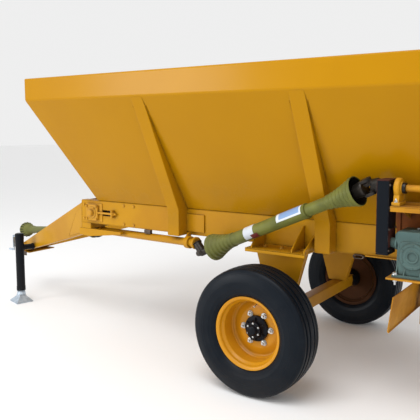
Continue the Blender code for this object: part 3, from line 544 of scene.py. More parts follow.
for side, sign in (("left", -1), ("right", 1)):
    hanger = [(-0.190, under - 0.004), (0.190, under - 0.004), (0.070, AXLE_Z + 0.043),
              (-0.070, AXLE_Z + 0.043)]
    inner, outer = sign * 0.428, sign * 0.474
    face = sign * (RAIL_Y + 0.0004)
    parts = [slab(hanger, 0.010, side_on(outer - sign * 0.005), 0.002),
             slab(hanger, 0.010, side_on(inner + sign * 0.005), 0.002),
             bar((-0.190, min(inner, outer), under - 0.012), (-0.180, max(inner, outer), under - 0.006),
                 0.001),
             bar((-0.150, min(inner, sign * 0.655), under - 0.008),
                 (0.262, max(inner, sign * 0.655), under), 0.0025),
             bar((-0.150, min(sign * 0.647, sign * 0.655), under - 0.024),
                 (0.262, max(sign * 0.647, sign * 0.655), under), 0.002)]
    for way in (-1, 1):
        parts.append(slab([(way * 0.186, under - 0.010), (way * 0.067, AXLE_Z + 0.045),
                           (way * 0.056, AXLE_Z + 0.045), (way * 0.172, under - 0.010)],
                          abs(outer - inner) - 0.004, side_on((inner + outer) / 2), 0.001))
    for x, top in ((-0.110, 0.985), (0.170, 0.985), (0.252, 0.940)):
        gusset = [(face, RAIL_BOTTOM - 0.006), (sign * 0.650, RAIL_BOTTOM - 0.006),
                  (sign * 0.650, RAIL_BOTTOM + 0.016), (face + sign * 0.020, top), (face, top)]
        parts += [slab(gusset, 0.008, end_on(x + 0.004), 0.0015),
                  weld((x - 0.001, face + sign * 0.002, 0.86),
                       (x - 0.001, face + sign * 0.002, top - 0.005), 0.003),
                  weld((x + 0.009, face + sign * 0.004, under + 0.001),
                       (x + 0.009, sign * 0.63, under + 0.001), 0.003)]
    piece("axle_hanger_" + side, parts, frame_paint, stands_for=["axle_mount_" + side])
    piece("hanger_bolts_" + side,
          [bolts([(-0.060, sign * 0.56, under), (0.060, sign * 0.56, under), (0.214, sign * 0.56, under)],
                 (0, 0, 1), 0.020),
           bolts([(-0.060, sign * 0.56, under - 0.008), (0.060, sign * 0.56, under - 0.008)], (0, 0, -1),
                 0.020, stud=0.008)], casting_yellow)

# ------------------------------------------------------------------ wheels
# Implement tyres with straight ribs round the tread, on 16 inch rims with a welded dish.  Six zinc
# nuts hold each rim to its black cast hub, which turns on the axle's stub.
TRACK, SEAT_R, FLANGE_R = 1.56, 0.203, 0.2185

tyre_rubber = finish("tyre_rubber", (0.0028, 0.0055, 0.0098), (0.0055, 0.0085, 0.0130), gloss=(0.34, 0.45),
                     shine=0.12, tone=9.0, waves=(12.0, 0.5), grain=(420.0, 0.5), bump=0.25, relief=0.002,
                     wear=None, dust=(0.0, 0.22, 0.15, 0.35), dust_colour=(0.055, 0.045, 0.036), shade_and_grime=None)
rim_paint = finish("rim_yellow", (0.60, 0.265, 0.006), (0.52, 0.215, 0.005), gloss=(0.26, 0.4), shine=0.25,
                   coat=0.03, waves=(6.0, 0.5), dust=(0.05, 0.45, 0.5, 0.18),
                   dust_colour=(0.20, 0.105, 0.030), shade_and_grime=(0.03, 0.65), wear=(0.002, 0.35))
# The inner half of each rim takes a dark brown: painted shade on the side turned from the light, with some
# dirt.
rim_back_shade_and_dirt = finish("rim_back_painted_shade_and_dirt", (0.075, 0.026, 0.008), (0.034, 0.015, 0.008), gloss=(0.55, 0.3),
                    shine=0.08, waves=(9.0, 1.0), dust=(0.0, 0.9, 0.6, 0.6),
                    dust_colour=(0.050, 0.028, 0.015), shade_and_grime=(0.06, 0.8))
black_paint = finish("black_paint", (0.0030, 0.0050, 0.0085), (0.0050, 0.0070, 0.0105), gloss=(0.30, 0.4),
                     shine=0.10, waves=(9.0, 0.7), grain=(240.0, 0.25), dust=(0.0, 1.0, 0.6, 0.16),
                     dust_colour=(0.07, 0.050, 0.035), shade_and_grime=(0.02, 0.4), wear=(0.002, 0.5),
                     wear_colour=(0.16, 0.13, 0.11))

for side, sign in (("left", -1), ("right", 1)):
    body = "wheel_" + side
    place = outward(0, sign * TRACK / 2, AXLE_Z, sign)
    wall = [(SEAT_R + 0.0004, 0.066), (SEAT_R + 0.0004, 0.080), (FLANGE_R + 0.0012, 0.0802),
            (0.2215, 0.087), (0.226, 0.0945), (0.233, 0.1005), (0.2405, 0.1055), (0.2425, 0.1072),
            (0.2450, 0.1075), (0.2475, 0.1082), (0.262, 0.1120), (0.2640, 0.1132), (0.2670, 0.1135),
            (0.2690, 0.1130), (0.285, 0.1146), (0.302, 0.1148), (0.3035, 0.1138), (0.3065, 0.1136),
            (0.308, 0.1142), (0.325, 0.1120), (0.340, 0.1080), (0.3500, 0.1045), (0.3555, 0.1035),
            (0.3570, 0.1012), (0.3600, 0.1006), (0.3620, 0.0996), (0.3700, 0.0955), (0.3755, 0.0910),
            (0.3795, 0.0850)]
    tread = [(0.3805, 0.0800), (0.3808, 0.0665), (0.3720, 0.0645), (0.3712, 0.0575), (0.3825, 0.0555),
             (0.3838, 0.0535), (0.3848, 0.0330), (0.3838, 0.0312), (0.3740, 0.0292), (0.3735, 0.0215),
             (0.3848, 0.0195), (0.3858, 0.0175)]
    half_outside = wall + tread
    inside = [(0.360, 0.0), (0.347, 0.065), (0.322, 0.099), (0.285, 0.103), (0.246, 0.096), (0.222, 0.072)]
    profile = (half_outside + [(r, -w) for r, w in reversed(half_outside)]
               + [(r, -w) for r, w in reversed(inside[1:])] + inside)
    piece("tyre_carcass_" + side, [turned(profile, place, 96)], tyre_rubber, body,
          stands_for=["tyre_" + side], crisp=28)

    rim = [(FLANGE_R + 0.0004, 0.0885), (FLANGE_R + 0.0006, 0.0845), (FLANGE_R, 0.0812), (0.2120, 0.0806),
           (0.2060, 0.0800), (SEAT_R, 0.0760), (SEAT_R - 0.0005, 0.066), (0.1975, 0.060), (0.1900, 0.053),
           (0.1880, 0.048), (0.188, -0.032), (0.182, -0.032), (0.182, 0.046), (0.1840, 0.051),
           (0.1915, 0.0595), (0.1950, 0.0650), (0.1968, 0.0680), (0.1968, 0.0770), (0.2000, 0.0835),
           (0.2060, 0.0865), (0.2110, 0.0872), (0.2150, 0.0890)]
    dish = [(0.182, -0.046), (0.1800, -0.052), (0.1745, -0.055), (0.168, -0.0555), (0.160, -0.0525),
            (0.148, -0.0490), (0.136, -0.0445), (0.124, -0.0410), (0.118, -0.0400), (0.0605, -0.0400),
            (0.0605, -0.0325), (0.1190, -0.0322), (0.1265, -0.0330), (0.138, -0.0368), (0.150, -0.0410),
            (0.162, -0.0450), (0.1680, -0.0462), (0.1735, -0.0440), (0.1775, -0.0390), (0.182, -0.0340)]
    wheel_parts = [turned(rim, place, 72), turned(dish, place, 72),
                   turned([(0.1832, -0.0245), (0.1770, -0.0315), (0.1792, -0.0350), (0.1832, -0.0360)],
                          place, 72)]
    piece("rim_dish_" + side, wheel_parts, rim_paint, body, stands_for=["rim_" + side],
          crisp=40)
    back = [(0.188, -0.0325), (0.188, -0.054), (0.1905, -0.058), (SEAT_R - 0.001, -0.068),
            (SEAT_R, -0.0800), (0.214, -0.0808), (FLANGE_R, -0.0825), (FLANGE_R, -0.0875), (0.212, -0.0870),
            (SEAT_R - 0.006, -0.0840), (SEAT_R - 0.006, -0.070), (0.1825, -0.0565), (0.1815, -0.0480),
            (0.1830, -0.0325)]
    # The rim's inner half, in the dark brown of painted shade and dirt.
    piece("rim_back_" + side,
          [turned(back, place, 72),
           turned([(0.0612, -0.0403), (0.160, -0.0530), (0.1800, -0.0560), (0.1800, -0.0580),
                   (0.158, -0.0560), (0.0612, -0.0425)], place, 72)], rim_back_shade_and_dirt, body,
          crisp=40)

    hub = [(0.0, 0.046), (0.014, 0.0455), (0.024, 0.043), (0.0295, 0.038), (0.0320, 0.030), (0.0325, 0.021),
           (0.0345, 0.019), (0.0450, 0.0180), (0.0475, 0.0155), (0.0480, 0.006), (0.0495, -0.006),
           (0.0545, -0.0120), (0.0740, -0.0145), (0.0775, -0.0170), (0.0780, -0.0315), (0.0592, -0.0317),
           (0.0592, -0.046), (0.070, -0.054), (0.066, -0.082), (0.060, -0.120), (0.056, -0.126),
           (0.036, -0.127), (0.036, -0.062), (0.0, -0.058)]
    hub_parts = [turned(hub, place, 48)]
    for i in range(6):
        angle = math.radians(60 * i + 30)
        hub_parts.append(bar((0.036, -0.0035, -0.018), (0.070, 0.0035, 0.000), 0.002,
                             place @ Matrix.Rotation(angle, 4, "Z")))
    piece("hub_casting_" + side, hub_parts, black_paint, body, stands_for=["hub_" + side])
    off_side = (0, sign, 0)
    nuts = bolt_circle(place, 0.095, -0.0320)
    cap_screws = bolt_circle(place, 0.0405, 0.0178, 30)
    valve = place @ Matrix.Rotation(math.radians(75), 4, "Z")
    piece("wheel_nuts_" + side,
          [bolts(nuts, off_side, 0.025, stud=0.010), bolts(cap_screws, off_side, 0.009),
           rod(valve @ Vector((0.183, 0, 0.048)), valve @ Vector((0.172, 0, 0.072)), 0.0038, sides=12),
           rod(valve @ Vector((0.1725, 0, 0.071)), valve @ Vector((0.1695, 0, 0.078)), 0.0048, sides=12)],
          bright_zinc, body)

# ------------------------------------------------------------------ drawbar
# Two deep plate arms taper to a boxed nose with a flat hitch tongue.  Their rear ends stand against
# the front cross angle, and gussets run back from them under the rails.
rear, nose = Vector((-1.720, -0.481, 0)), Vector((-3.020, -0.120, 0))
run = (nose - rear).length
drawbar_parts = []
for sign in (1, -1):
    a, b = Vector((rear.x, sign * rear.y, 0)), Vector((nose.x, sign * nose.y, 0))
    along = (b - a).normalized()
    place = (Matrix.Translation(a + Vector((0, sign * 0.025, 0)))
             @ Matrix((along, Vector((0, 0, 1)), along.cross((0, 0, 1)))).transposed().to_4x4())
    outline = [(0.097, 0.745), (0.42, 0.655), (run, 0.415), (run, 0.500), (0.097, 1.003)]
    drawbar_parts.append(slab(outline, 0.050, place, 0.005))
    doubler = [(0.099, 0.760), (0.34, 0.695), (0.20, 0.905), (0.099, 0.960)]
    way = 1 if place.to_3x3() @ Vector((0, 0, 1)) @ Vector((0, sign, 0)) < 0 else -1
    drawbar_parts.append(slab(doubler, 0.008, place @ Matrix.Translation((0, 0, way * 0.027)), 0.002))
    edge = [place @ Vector((x, z, way * 0.029)) for x, z in ((0.34, 0.698), (0.20, 0.902))]
    drawbar_parts.append(weld(edge[0], edge[1], 0.004))
    low = RAIL_BOTTOM - 0.0454 - 0.0008
    gusset = [(-1.830, 0.745), (-1.720, 0.738), (-1.380, low - 0.02), (-1.380, low), (-1.830, low)]
    drawbar_parts.append(slab(gusset, 0.033, side_on(sign * 0.4645), 0.003))
tip = nose.x - 0.075
tongue = arc((tip, 0), 0.045, 90, 180, 14) + [(nose.x + 0.02, -0.045), (nose.x + 0.02, 0.045)]
drawbar_parts += [bar((nose.x - 0.010, -0.150, 0.412), (nose.x - 0.002, 0.150, 0.502), 0.002),
                  bar((nose.x - 0.002, -0.146, 0.493), (nose.x + 0.110, 0.146, 0.502), 0.002),
                  bar((nose.x - 0.002, -0.146, 0.412), (nose.x + 0.110, 0.146, 0.421), 0.002),
                  cut_plate([tongue, arc((tip, 0), 0.021, 0, 345, 23)], 0.030,
                            Matrix.Translation((0, 0, 0.456)), 0.003),
                  *(slab([(nose.x - 0.055, 0.470), (nose.x - 0.010, 0.470), (nose.x - 0.010, 0.498)], 0.010,
                         side_on(y), 0.001) for y in (0.030, -0.030)),
                  weld((nose.x - 0.011, -0.045, 0.472), (nose.x - 0.011, 0.045, 0.472), 0.004)]
piece("drawbar_arms", drawbar_parts, frame_paint, stands_for=["drawbar"])
wear_ring = turned([(0.0212, 0.0155), (0.032, 0.0155), (0.034, 0.0175), (0.034, 0.0195), (0.0212, 0.0195)],
                   Matrix.Translation((tip, 0, 0.456)))
lug = [bar((nose.x + 0.030, -0.155, 0.385), (nose.x + 0.075, -0.147, 0.425), 0.002), wear_ring]
piece("hitch_wear_ring", lug, dark_steel)

# ------------------------------------------------------------------ parking jack
# A black tube on a round stub on the left arm, with a cranked screw inside.  The galvanised leg
# ends in a pressed foot, and the whole jack swings up along the arm for the road.
JACK_X, JACK_Y = -2.822, -0.313
galvanised = finish("galvanised", (0.60, 0.69, 0.78), (0.40, 0.48, 0.57), gloss=(0.34, 0.4), metal=0.75,
                    tone=30.0, waves=(35.0, 0.6), grain=(300.0, 0.3), bump=0.3, wear=None,
                    dust=(0.0, 0.10, 0.2, 0.35), dust_colour=(0.22, 0.19, 0.15), shade_and_grime=(0.01, 0.35))
arm_way = (rear - nose).normalized()
arm_side = Vector((-arm_way.y, arm_way.x, 0))
arm_side = -arm_side if arm_side.y < 0 else arm_side
reach = (Vector((JACK_X, JACK_Y, 0)) - nose).cross(arm_way).length
pivot = Vector((JACK_X, JACK_Y, 0.5))
place = Matrix.Translation((JACK_X, JACK_Y, 0))
tube = [(0.0, 0.634), (0.030, 0.634), (0.036, 0.630), (0.039, 0.622), (0.039, 0.575), (0.0372, 0.572),
        (0.0372, 0.145), (0.039, 0.142), (0.039, 0.105), (0.034, 0.105), (0.034, 0.615), (0.0, 0.615)]
jack_parts = [turned(tube, place, 40),
              rod(pivot + arm_side * 0.030, pivot + arm_side * (reach - 0.020), 0.0255),
              rod(pivot + arm_side * (reach - 0.020), pivot + arm_side * (reach - 0.007), 0.030),
              rod(pivot + arm_side * 0.034, pivot + arm_side * 0.042, 0.029),
              rod((JACK_X - 0.034, JACK_Y, 0.600), (JACK_X - 0.048, JACK_Y, 0.600), 0.014, sides=20)]
piece("jack_outer_tube", jack_parts, black_paint, "jack", stands_for=["jack_tube"])
crank = [rod((JACK_X - 0.0395, JACK_Y, 0.600), (JACK_X - 0.085, JACK_Y, 0.600), 0.0075, sides=16),
         bar((JACK_X - 0.0845, JACK_Y - 0.011, 0.500), (JACK_X - 0.0780, JACK_Y + 0.011, 0.612), 0.002),
         rod((JACK_X - 0.0812, JACK_Y, 0.506), (JACK_X - 0.0812, JACK_Y, 0.470), 0.0055, sides=14),
         rod((JACK_X - 0.0812, JACK_Y, 0.475), (JACK_X - 0.100, JACK_Y, 0.475), 0.0055, sides=14),
         rod((JACK_X - 0.096, JACK_Y, 0.475), (JACK_X - 0.150, JACK_Y, 0.475), 0.0095, sides=18,
             ease=0.003)]
piece("jack_handle", crank, galvanised, "jack", stands_for=["jack_crank"])
foot = bmesh.new()
bmesh.ops.create_cube(foot, size=1,
                      matrix=Matrix.Translation((0, 0, 0.0045)) @ Matrix.Diagonal((0.172, 0.150, 0.009, 1)))
top = max(foot.faces, key=lambda f: f.calc_center_median().z)
for widths, height in (((0.86, 0.84), 0.012), ((0.50, 0.54), 0.030), ((0.74, 0.74), 0.030)):
    grown = bmesh.ops.extrude_face_region(foot, geom=[top])["geom"]
    corners = [g for g in grown if isinstance(g, bmesh.types.BMVert)]
    foot.faces.remove(top) if top.is_valid else None
    top = [g for g in grown if isinstance(g, bmesh.types.BMFace)][0]
    bmesh.ops.scale(foot, vec=(*widths, 1), verts=corners)
    bmesh.ops.translate(foot, vec=(0, 0, height), verts=corners)
eased(foot, 0.003, angle=12)
foot.transform(place @ Matrix.Rotation(math.atan2(arm_way.y, arm_way.x), 4, "Z"))
leg_parts = [foot,
             turned([(0, 0.56), (0.026, 0.56), (0.028, 0.556), (0.028, 0.060), (0, 0.060)], place, 32),
             turned([(0, 0.098), (0.0295, 0.098), (0.0345, 0.094), (0.0365, 0.080), (0.0385, 0.070),
                     (0, 0.070)], place, 32)]
piece("jack_leg_and_foot", leg_parts, galvanised, "jack_leg", stands_for=["jack_leg"])

# ------------------------------------------------------------------ hopper
# Folded sheet: an upright band round the rim with a lip turned in, and walls that slope in to the
# chassis.  The end walls are welded in between the side walls.
TOP_Z, CREASE_Z, TOP_Y, SHEET = 1.935, 1.780, 0.930, 0.005
TOP_FRONT, TOP_REAR, FOOT_FRONT, FOOT_REAR = -1.850, 1.190, -1.612, 0.950
hopper_paint = finish("hopper_yellow", (0.440, 0.208, 0.0015), (0.400, 0.183, 0.0015), gloss=(0.22, 0.4),
                      shine=0.09, coat=0.03, tone=0.9, waves=(1.3, 1.0), grain=(170.0, 0.02), bump=0.35,
                      relief=0.012, dust=(0.95, 1.35, 1.0, 0.26), dust_colour=(0.20, 0.11, 0.030),
                      shade_and_grime=(0.06, 0.45), shade_and_grime_colour=(0.16, 0.075, 0.012), wear=(0.003, 0.25))


def wall_y(z):
    return RAIL_Y + (TOP_Y - RAIL_Y) * max(0.0, min(1.0, (z - RAIL_TOP) / (CREASE_Z - RAIL_TOP)))


def wall_x(z, foot_x, top_x):
    return foot_x + (top_x - foot_x) * max(0.0, min(1.0, (z - RAIL_TOP) / (CREASE_Z - RAIL_TOP)))


def folded(starts, ends, inside, fold=0.010, gauge=SHEET):
    """Sheet folded along straight lines, its thickness on the side away from the seen face."""
    bm = bmesh.new()
    line = [bm.verts.new(point) for point in starts]
    edges = [bm.edges.new(pair) for pair in zip(line, line[1:])]
    far = [g for g in bmesh.ops.extrude_edge_only(bm, edges=edges)["geom"]
           if isinstance(g, bmesh.types.BMVert)]
    for vert in far:
        nearest = min(range(len(starts)), key=lambda i: (Vector(starts[i]) - vert.co).length)
        vert.co = ends[nearest]
    bmesh.ops.recalc_face_normals(bm, faces=bm.faces)
    widest = max(bm.faces, key=lambda face: face.calc_area())
    if widest.normal.dot(widest.calc_center_median() - Vector(inside)) < 0:
        bmesh.ops.reverse_faces(bm, faces=bm.faces)
    creases = [e for e in bm.edges if len(e.link_faces) == 2]
    bmesh.ops.bevel(bm, geom=creases, offset=fold, segments=4, profile=0.5, affect="EDGES", material=-1)
    bmesh.ops.solidify(bm, geom=bm.faces[:], thickness=gauge)
    return bm


foot_z = RAIL_TOP + 0.0004
inset = SHEET / math.cos(math.atan2(TOP_Y - RAIL_Y, CREASE_Z - RAIL_TOP)) + 0.001
for side, sign in (("left", -1), ("right", 1)):
    section = ((TOP_Y - 0.035, TOP_Z), (TOP_Y, TOP_Z), (TOP_Y, CREASE_Z), (RAIL_Y, foot_z),
               (RAIL_Y - 0.056, foot_z))
    starts = [(wall_x(z, FOOT_FRONT, TOP_FRONT), sign * y, z) for y, z in section]
    ends = [(wall_x(z, FOOT_REAR, TOP_REAR), sign * y, z) for y, z in section]
    seams = []
    for foot_x, top_x, way in ((FOOT_FRONT, TOP_FRONT, 1), (FOOT_REAR, TOP_REAR, -1)):
        low = Vector((wall_x(1.04, foot_x, top_x) + way * 0.008, sign * (wall_y(1.04) - inset - 0.002),
                      1.04))
        high = Vector((wall_x(1.78, foot_x, top_x) + way * 0.008, sign * (wall_y(1.78) - inset - 0.002),
                       1.78))
        seams.append(weld(low, high, 0.005))
    piece("hopper_wall_" + side, [folded(starts, ends, (0, 0, 1.5))] + seams, hopper_paint,
          stands_for=["hopper_side_" + side], crisp=40)

lip_z, low_z = TOP_Z - SHEET - 0.0004, RAIL_TOP + SHEET + 0.0012
section = ((TOP_FRONT + 0.035, lip_z), (TOP_FRONT, lip_z), (TOP_FRONT, CREASE_Z),
           (wall_x(low_z, FOOT_FRONT, TOP_FRONT), low_z))
starts = [(x, -(wall_y(z) - inset), z) for x, z in section]
ends = [(x, wall_y(z) - inset, z) for x, z in section]
piece("hopper_wall_front", [folded(starts, ends, (0, 0, 1.5))], hopper_paint, stands_for=["hopper_front"],
      crisp=40)

# ------------------------------------------------------------------ ribs
# Tapered ribs folded from plate, two on each side.  They stand against the rails' webs and are
# welded up the walls as far as the crease.
for sign, side in ((-1, "left"), (1, "right")):
    for which, rib_rear in (("front", -0.733), ("rear", 0.388)):
        gap = 0.0008
        outline = [(sign * (wall_y(CREASE_Z - 0.004) + gap), CREASE_Z - 0.004),
                   (sign * (RAIL_Y + 0.100), RAIL_TOP), (sign * (RAIL_Y + 0.100), RAIL_BOTTOM + 0.0004),
                   (sign * (RAIL_Y + gap), RAIL_BOTTOM + 0.0004), (sign * (RAIL_Y + gap), RAIL_TOP)]
        parts = [slab(outline, 0.100, end_on(rib_rear - 0.050), 0.006)]
        for x in (rib_rear - 0.103, rib_rear + 0.003):
            for low, high in ((1.045, 1.20), (1.30, 1.45), (1.56, 1.72)):
                parts.append(weld((x, sign * (wall_y(low) + 0.002), low),
                                  (x, sign * (wall_y(high) + 0.002), high), 0.0035))
        piece(f"rib_{which}_{side}_fold", parts, hopper_paint, stands_for=[f"rib_{which}_{side}"])

# ------------------------------------------------------------------ floor conveyor
# Two link chains run round sprockets on the front and rear shafts and pull angle slats over the
# floor.  The chains and slats are bare steel, polished and stained by the load.
CHAIN_R, CHAIN_Y, LINKS, SLATS = 0.065, 0.360, 112, 22
chain_steel = finish("chain_steel", (0.16, 0.12, 0.095), (0.075, 0.050, 0.036), gloss=(0.40, 0.35),
                     metal=0.7, tone=16.0, waves=(20.0, 0.8), grain=(220.0, 0.8), bump=0.5,
                     wear=(0.003, 0.6), wear_colour=(0.42, 0.38, 0.34), dust=(0.8, 1.1, 0.7, 0.6),
                     dust_colour=(0.10, 0.060, 0.032), shade_and_grime=(0.02, 0.5))
straight = CONVEYOR_REAR - CONVEYOR_FRONT
chain_line = CHAIN_R - 0.010
loop = 2 * straight + 2 * math.pi * chain_line


def on_loop(distance):
    """Place on the chain's loop, with local X along the run and local Z out of the loop."""
    distance %= loop
    if distance < straight:
        return Matrix.Translation((CONVEYOR_FRONT + distance, 0, CONVEYOR_Z + chain_line))
    distance -= straight
    bend = math.pi * chain_line
    if distance < bend:
        turn, centre = distance / chain_line, CONVEYOR_REAR
    elif distance < bend + straight:
        back = distance - bend
        return (Matrix.Translation((CONVEYOR_REAR - back, 0, CONVEYOR_Z - chain_line))
                @ Matrix.Rotation(math.pi, 4, "Y"))
    else:
        turn, centre = math.pi + (distance - bend - straight) / chain_line, CONVEYOR_FRONT
    return (Matrix.Translation((centre, 0, CONVEYOR_Z)) @ Matrix.Rotation(turn, 4, "Y")
            @ Matrix.Translation((0, 0, chain_line)))


chains = bmesh.new()
for side in (-1, 1):
    for i in range(LINKS):
        place = on_loop(loop * i / LINKS)
        wide = 0.011 if i % 2 else 0.016
        for edge_y in (-wide, wide):
            bmesh.ops.create_cube(chains, size=1,
                                  matrix=place @ Matrix.Translation((0, side * CHAIN_Y + edge_y, 0))
                                  @ Matrix.Diagonal((loop / LINKS * 1.16, 0.0035, 0.019, 1)))
        across_link = Matrix.Rotation(math.pi / 2, 4, "X")
        bmesh.ops.create_cone(chains, cap_ends=True, segments=8, radius1=0.0095, radius2=0.0095,
                              depth=0.020,
                              matrix=place @ Matrix.Translation((-loop / LINKS / 2, side * CHAIN_Y, 0))
                              @ across_link)
slats = []
for i in range(SLATS):
    place = on_loop(loop * (i + 0.5) / SLATS)
    for low, high in (((-0.017, -0.405, -0.001), (0.017, 0.405, 0.005)),
                      ((-0.017, -0.405, 0.004), (-0.011, 0.405, 0.024))):
        slats.append(bar(low, high, 0.0012, place))
piece("conveyor_chains", [chains] + slats, chain_steel, stands_for=["conveyor_slats"])

for which, x, left_end in (("front", CONVEYOR_FRONT, -0.530), ("rear", CONVEYOR_REAR, -0.6195)):
    shaft = [rod((x, left_end, CONVEYOR_Z), (x, 0.530, CONVEYOR_Z), 0.0222)]
    for side in (-1, 1):
        teeth = []
        for k in range(16):
            radius = 0.050 if k % 2 else 0.036
            teeth += [(radius * math.cos(math.tau * (k + d) / 16),
                       radius * math.sin(math.tau * (k + d) / 16)) for d in (-0.25, 0.25)]
        shaft += [slab(teeth, 0.012, Matrix.Translation((x, side * CHAIN_Y, CONVEYOR_Z)) @ SIDEWAYS, 0.001),
                  rod((x, side * 0.330, CONVEYOR_Z), (x, side * 0.390, CONVEYOR_Z), 0.034)]
    for y in (-0.18, 0.0, 0.18):
        shaft.append(rod((x, y - 0.006, CONVEYOR_Z), (x, y + 0.006, CONVEYOR_Z), 0.045))
    piece(f"conveyor_shaft_{which}_turned", shaft, dark_steel, stands_for=["conveyor_shaft_" + which])

# ------------------------------------------------------------------ drive shafts
# A guarded shaft brings power from the tractor, a tube carries it back under the left rail, and a
# second guarded shaft climbs to the belt case.  The guards are ribbed plastic bells on two tubes.
guard_plastic = finish("guard_plastic", (0.150, 0.158, 0.030), (0.090, 0.098, 0.020), gloss=(0.36, 0.35),
                       shine=0.2, tone=9.0, waves=(14.0, 0.5), grain=(380.0, 0.4), bump=0.3,
                       dust=(0.3, 1.4, 0.8, 0.45), dust_colour=(0.19, 0.19, 0.075), shade_and_grime=(0.015, 0.7),
                       shade_and_grime_colour=(0.035, 0.035, 0.010), wear=(0.003, 0.35),
                       wear_colour=(0.42, 0.36, 0.12))
greasy = finish("greasy_steel", (0.030, 0.026, 0.022), (0.012, 0.011, 0.010), gloss=(0.26, 0.4), metal=0.4,
                tone=25.0, waves=(30.0, 1.0), grain=(150.0, 0.6), bump=0.5, wear=(0.003, 0.35),
                wear_colour=(0.24, 0.16, 0.10), dust=(0.0, 1.6, 0.4, 0.2), dust_colour=(0.07, 0.045, 0.025),
                shade_and_grime=None)


def on_line(start, end, distance):
    start, end = Vector(start), Vector(end)
    return start + (end - start).normalized() * distance


def bell(radius, mouth, depth, rings=6):
    """A ribbed bell: a tube at local Z = depth that opens towards a mouth at Z = 0."""
    out, count = [], rings * 2
    for k in range(count + 1):
        share = k / count
        flare = radius + (mouth - radius) * (1 - share) ** 1.35
        out += [(flare + (0.0035 if k % 2 else 0.0), depth * share),
                (flare + (0.0035 if k % 2 else 0.0), depth * (share + 0.32 / count))]
    return [(r, min(h, depth)) for r, h in out]


def guarded(start, end, radius, mouths, depth, split):
    """Two telescoping guard tubes with a ribbed bell at each end, open right through."""
    start, end = Vector(start), Vector(end)
    length = (end - start).length
    wall = 0.0035
    thin = radius - 0.0055
    outside = bell(radius, mouths[0], depth)
    outside += [(radius, depth + 0.004), (radius + 0.004, depth + 0.006), (radius + 0.004, depth + 0.026),
                (radius, depth + 0.030), (radius, length * split - 0.012),
                (radius + 0.003, length * split - 0.010), (radius + 0.003, length * split),
                (thin, length * split + 0.001), (thin, length - depth - 0.030),
                (radius, length - depth - 0.026), (radius, length - depth - 0.004)]
    outside += [(r, length - h) for r, h in reversed(bell(radius, mouths[1], depth))]
    inside = [(mouths[1] - wall, length), (radius - 0.010, length - depth), (radius - 0.010, depth),
              (mouths[0] - wall, 0)]
    return turned(outside + inside, toward(start, end), 40)


def fork(place, turn, size=1.0):
    """Half of a universal joint: a boss on the shaft, with two eyes that reach the cross."""
    place = place @ Matrix.Rotation(turn, 4, "Z") @ Matrix.Scale(size, 4)
    parts = [turned([(0, 0.055), (0.016, 0.055), (0.021, 0.051), (0.024, 0.030), (0.026, 0.020),
                     (0.024, 0.016), (0, 0.016)], place, 24)]
    for side in (-1, 1):
        eye = arc((0, 0), 0.0155, 180, 180, 10) + [(0.0155, 0.022), (-0.0155, 0.022)]
        parts.append(slab(eye, 0.010, place @ side_on(side * 0.0215), 0.0018))
        parts.append(rod(place @ Vector((0, side * 0.012, 0)), place @ Vector((0, side * 0.0275, 0)),
                         0.0100 * size, sides=20))
    return parts


drive = (("input_shaft", (-3.110, 0.0, 0.600), (-1.780, -0.330, 0.752), -0.035, 0.06, 0.033, (0.070, 0.055),
          0.15),
         ("side_shaft", (-0.548, -0.560, 0.756), (0.690, -0.760, 1.275), 0.120, 0.076, 0.042,
          (0.088, 0.083), 0.17))
for name, start, end, before, after, radius, mouths, depth in drive:
    length = (Vector(end) - Vector(start)).length
    parts = [rod(on_line(start, end, 0.03), on_line(start, end, length - 0.03), 0.0165, sides=24)]
    parts += (fork(toward(start, end), 0.4)
              + fork(toward(start, end) @ Matrix.Rotation(math.pi, 4, "X"), 0.4 + math.pi / 2, 0.9))
    parts += (fork(toward(end, start), 1.1, 1.75)
              + fork(toward(end, start) @ Matrix.Rotation(math.pi, 4, "X"), 1.1 + math.pi / 2, 1.25))
    # A dark cone lines the mouth of each bell: painted shade inside the guard.
    mouth = toward(on_line(end, start, after), start)
    parts.append(turned([(mouths[1] - 0.0042, 0.003), (mouths[1] - 0.0062, 0.003),
                         (radius - 0.0128, depth - 0.012), (radius - 0.0106, depth - 0.010)], mouth, 40))
    piece(name + "_joints", parts, greasy, stands_for=[name])
    first, last = on_line(start, end, before), on_line(end, start, after)
    piece(name + "_guard_tubes", [guarded(first, last, radius, mouths, depth, 0.70)], guard_plastic,
          stands_for=[name + "_guard"], crisp=26)

# Black bars round the front cone of the input guard stand for its slots: painted shade inside the openings.
cone = toward(on_line(drive[0][1], drive[0][2], drive[0][3]), drive[0][2])
slots = [rod(cone @ Matrix.Rotation(math.radians(22.5 * k), 4, "Z") @ Vector((0.0700, 0, 0.006)),
             cone @ Matrix.Rotation(math.radians(22.5 * k), 4, "Z") @ Vector((0.0565, 0, 0.050)), 0.0045,
             0.003, sides=8) for k in range(16)]
piece("input_guard_slots", slots, black_paint)

# Blank labels wrapped on the side guard: a pale one with a blue band, and a small pale one that
# a dark red one overlaps.


def label_paint(name, colour, shade, dust=0.3, dust_colour=(0.20, 0.16, 0.10)):
    return finish(name, colour, shade, gloss=(0.30, 0.3), waves=(30.0, 0.3), grain=(200.0, 0.1), wear=None,
                  dust=(0.3, 1.4, 0.6, dust), dust_colour=dust_colour, shade_and_grime=None)


pale_label = label_paint("pale_label", (0.70, 0.74, 0.78), (0.55, 0.60, 0.66), 0.35, (0.25, 0.20, 0.12))
blue_label = label_paint("blue_label", (0.16, 0.28, 0.52), (0.30, 0.42, 0.62))
red_label = label_paint("red_label", (0.16, 0.010, 0.012), (0.11, 0.008, 0.010))
side_start, side_end = drive[1][1], drive[1][2]


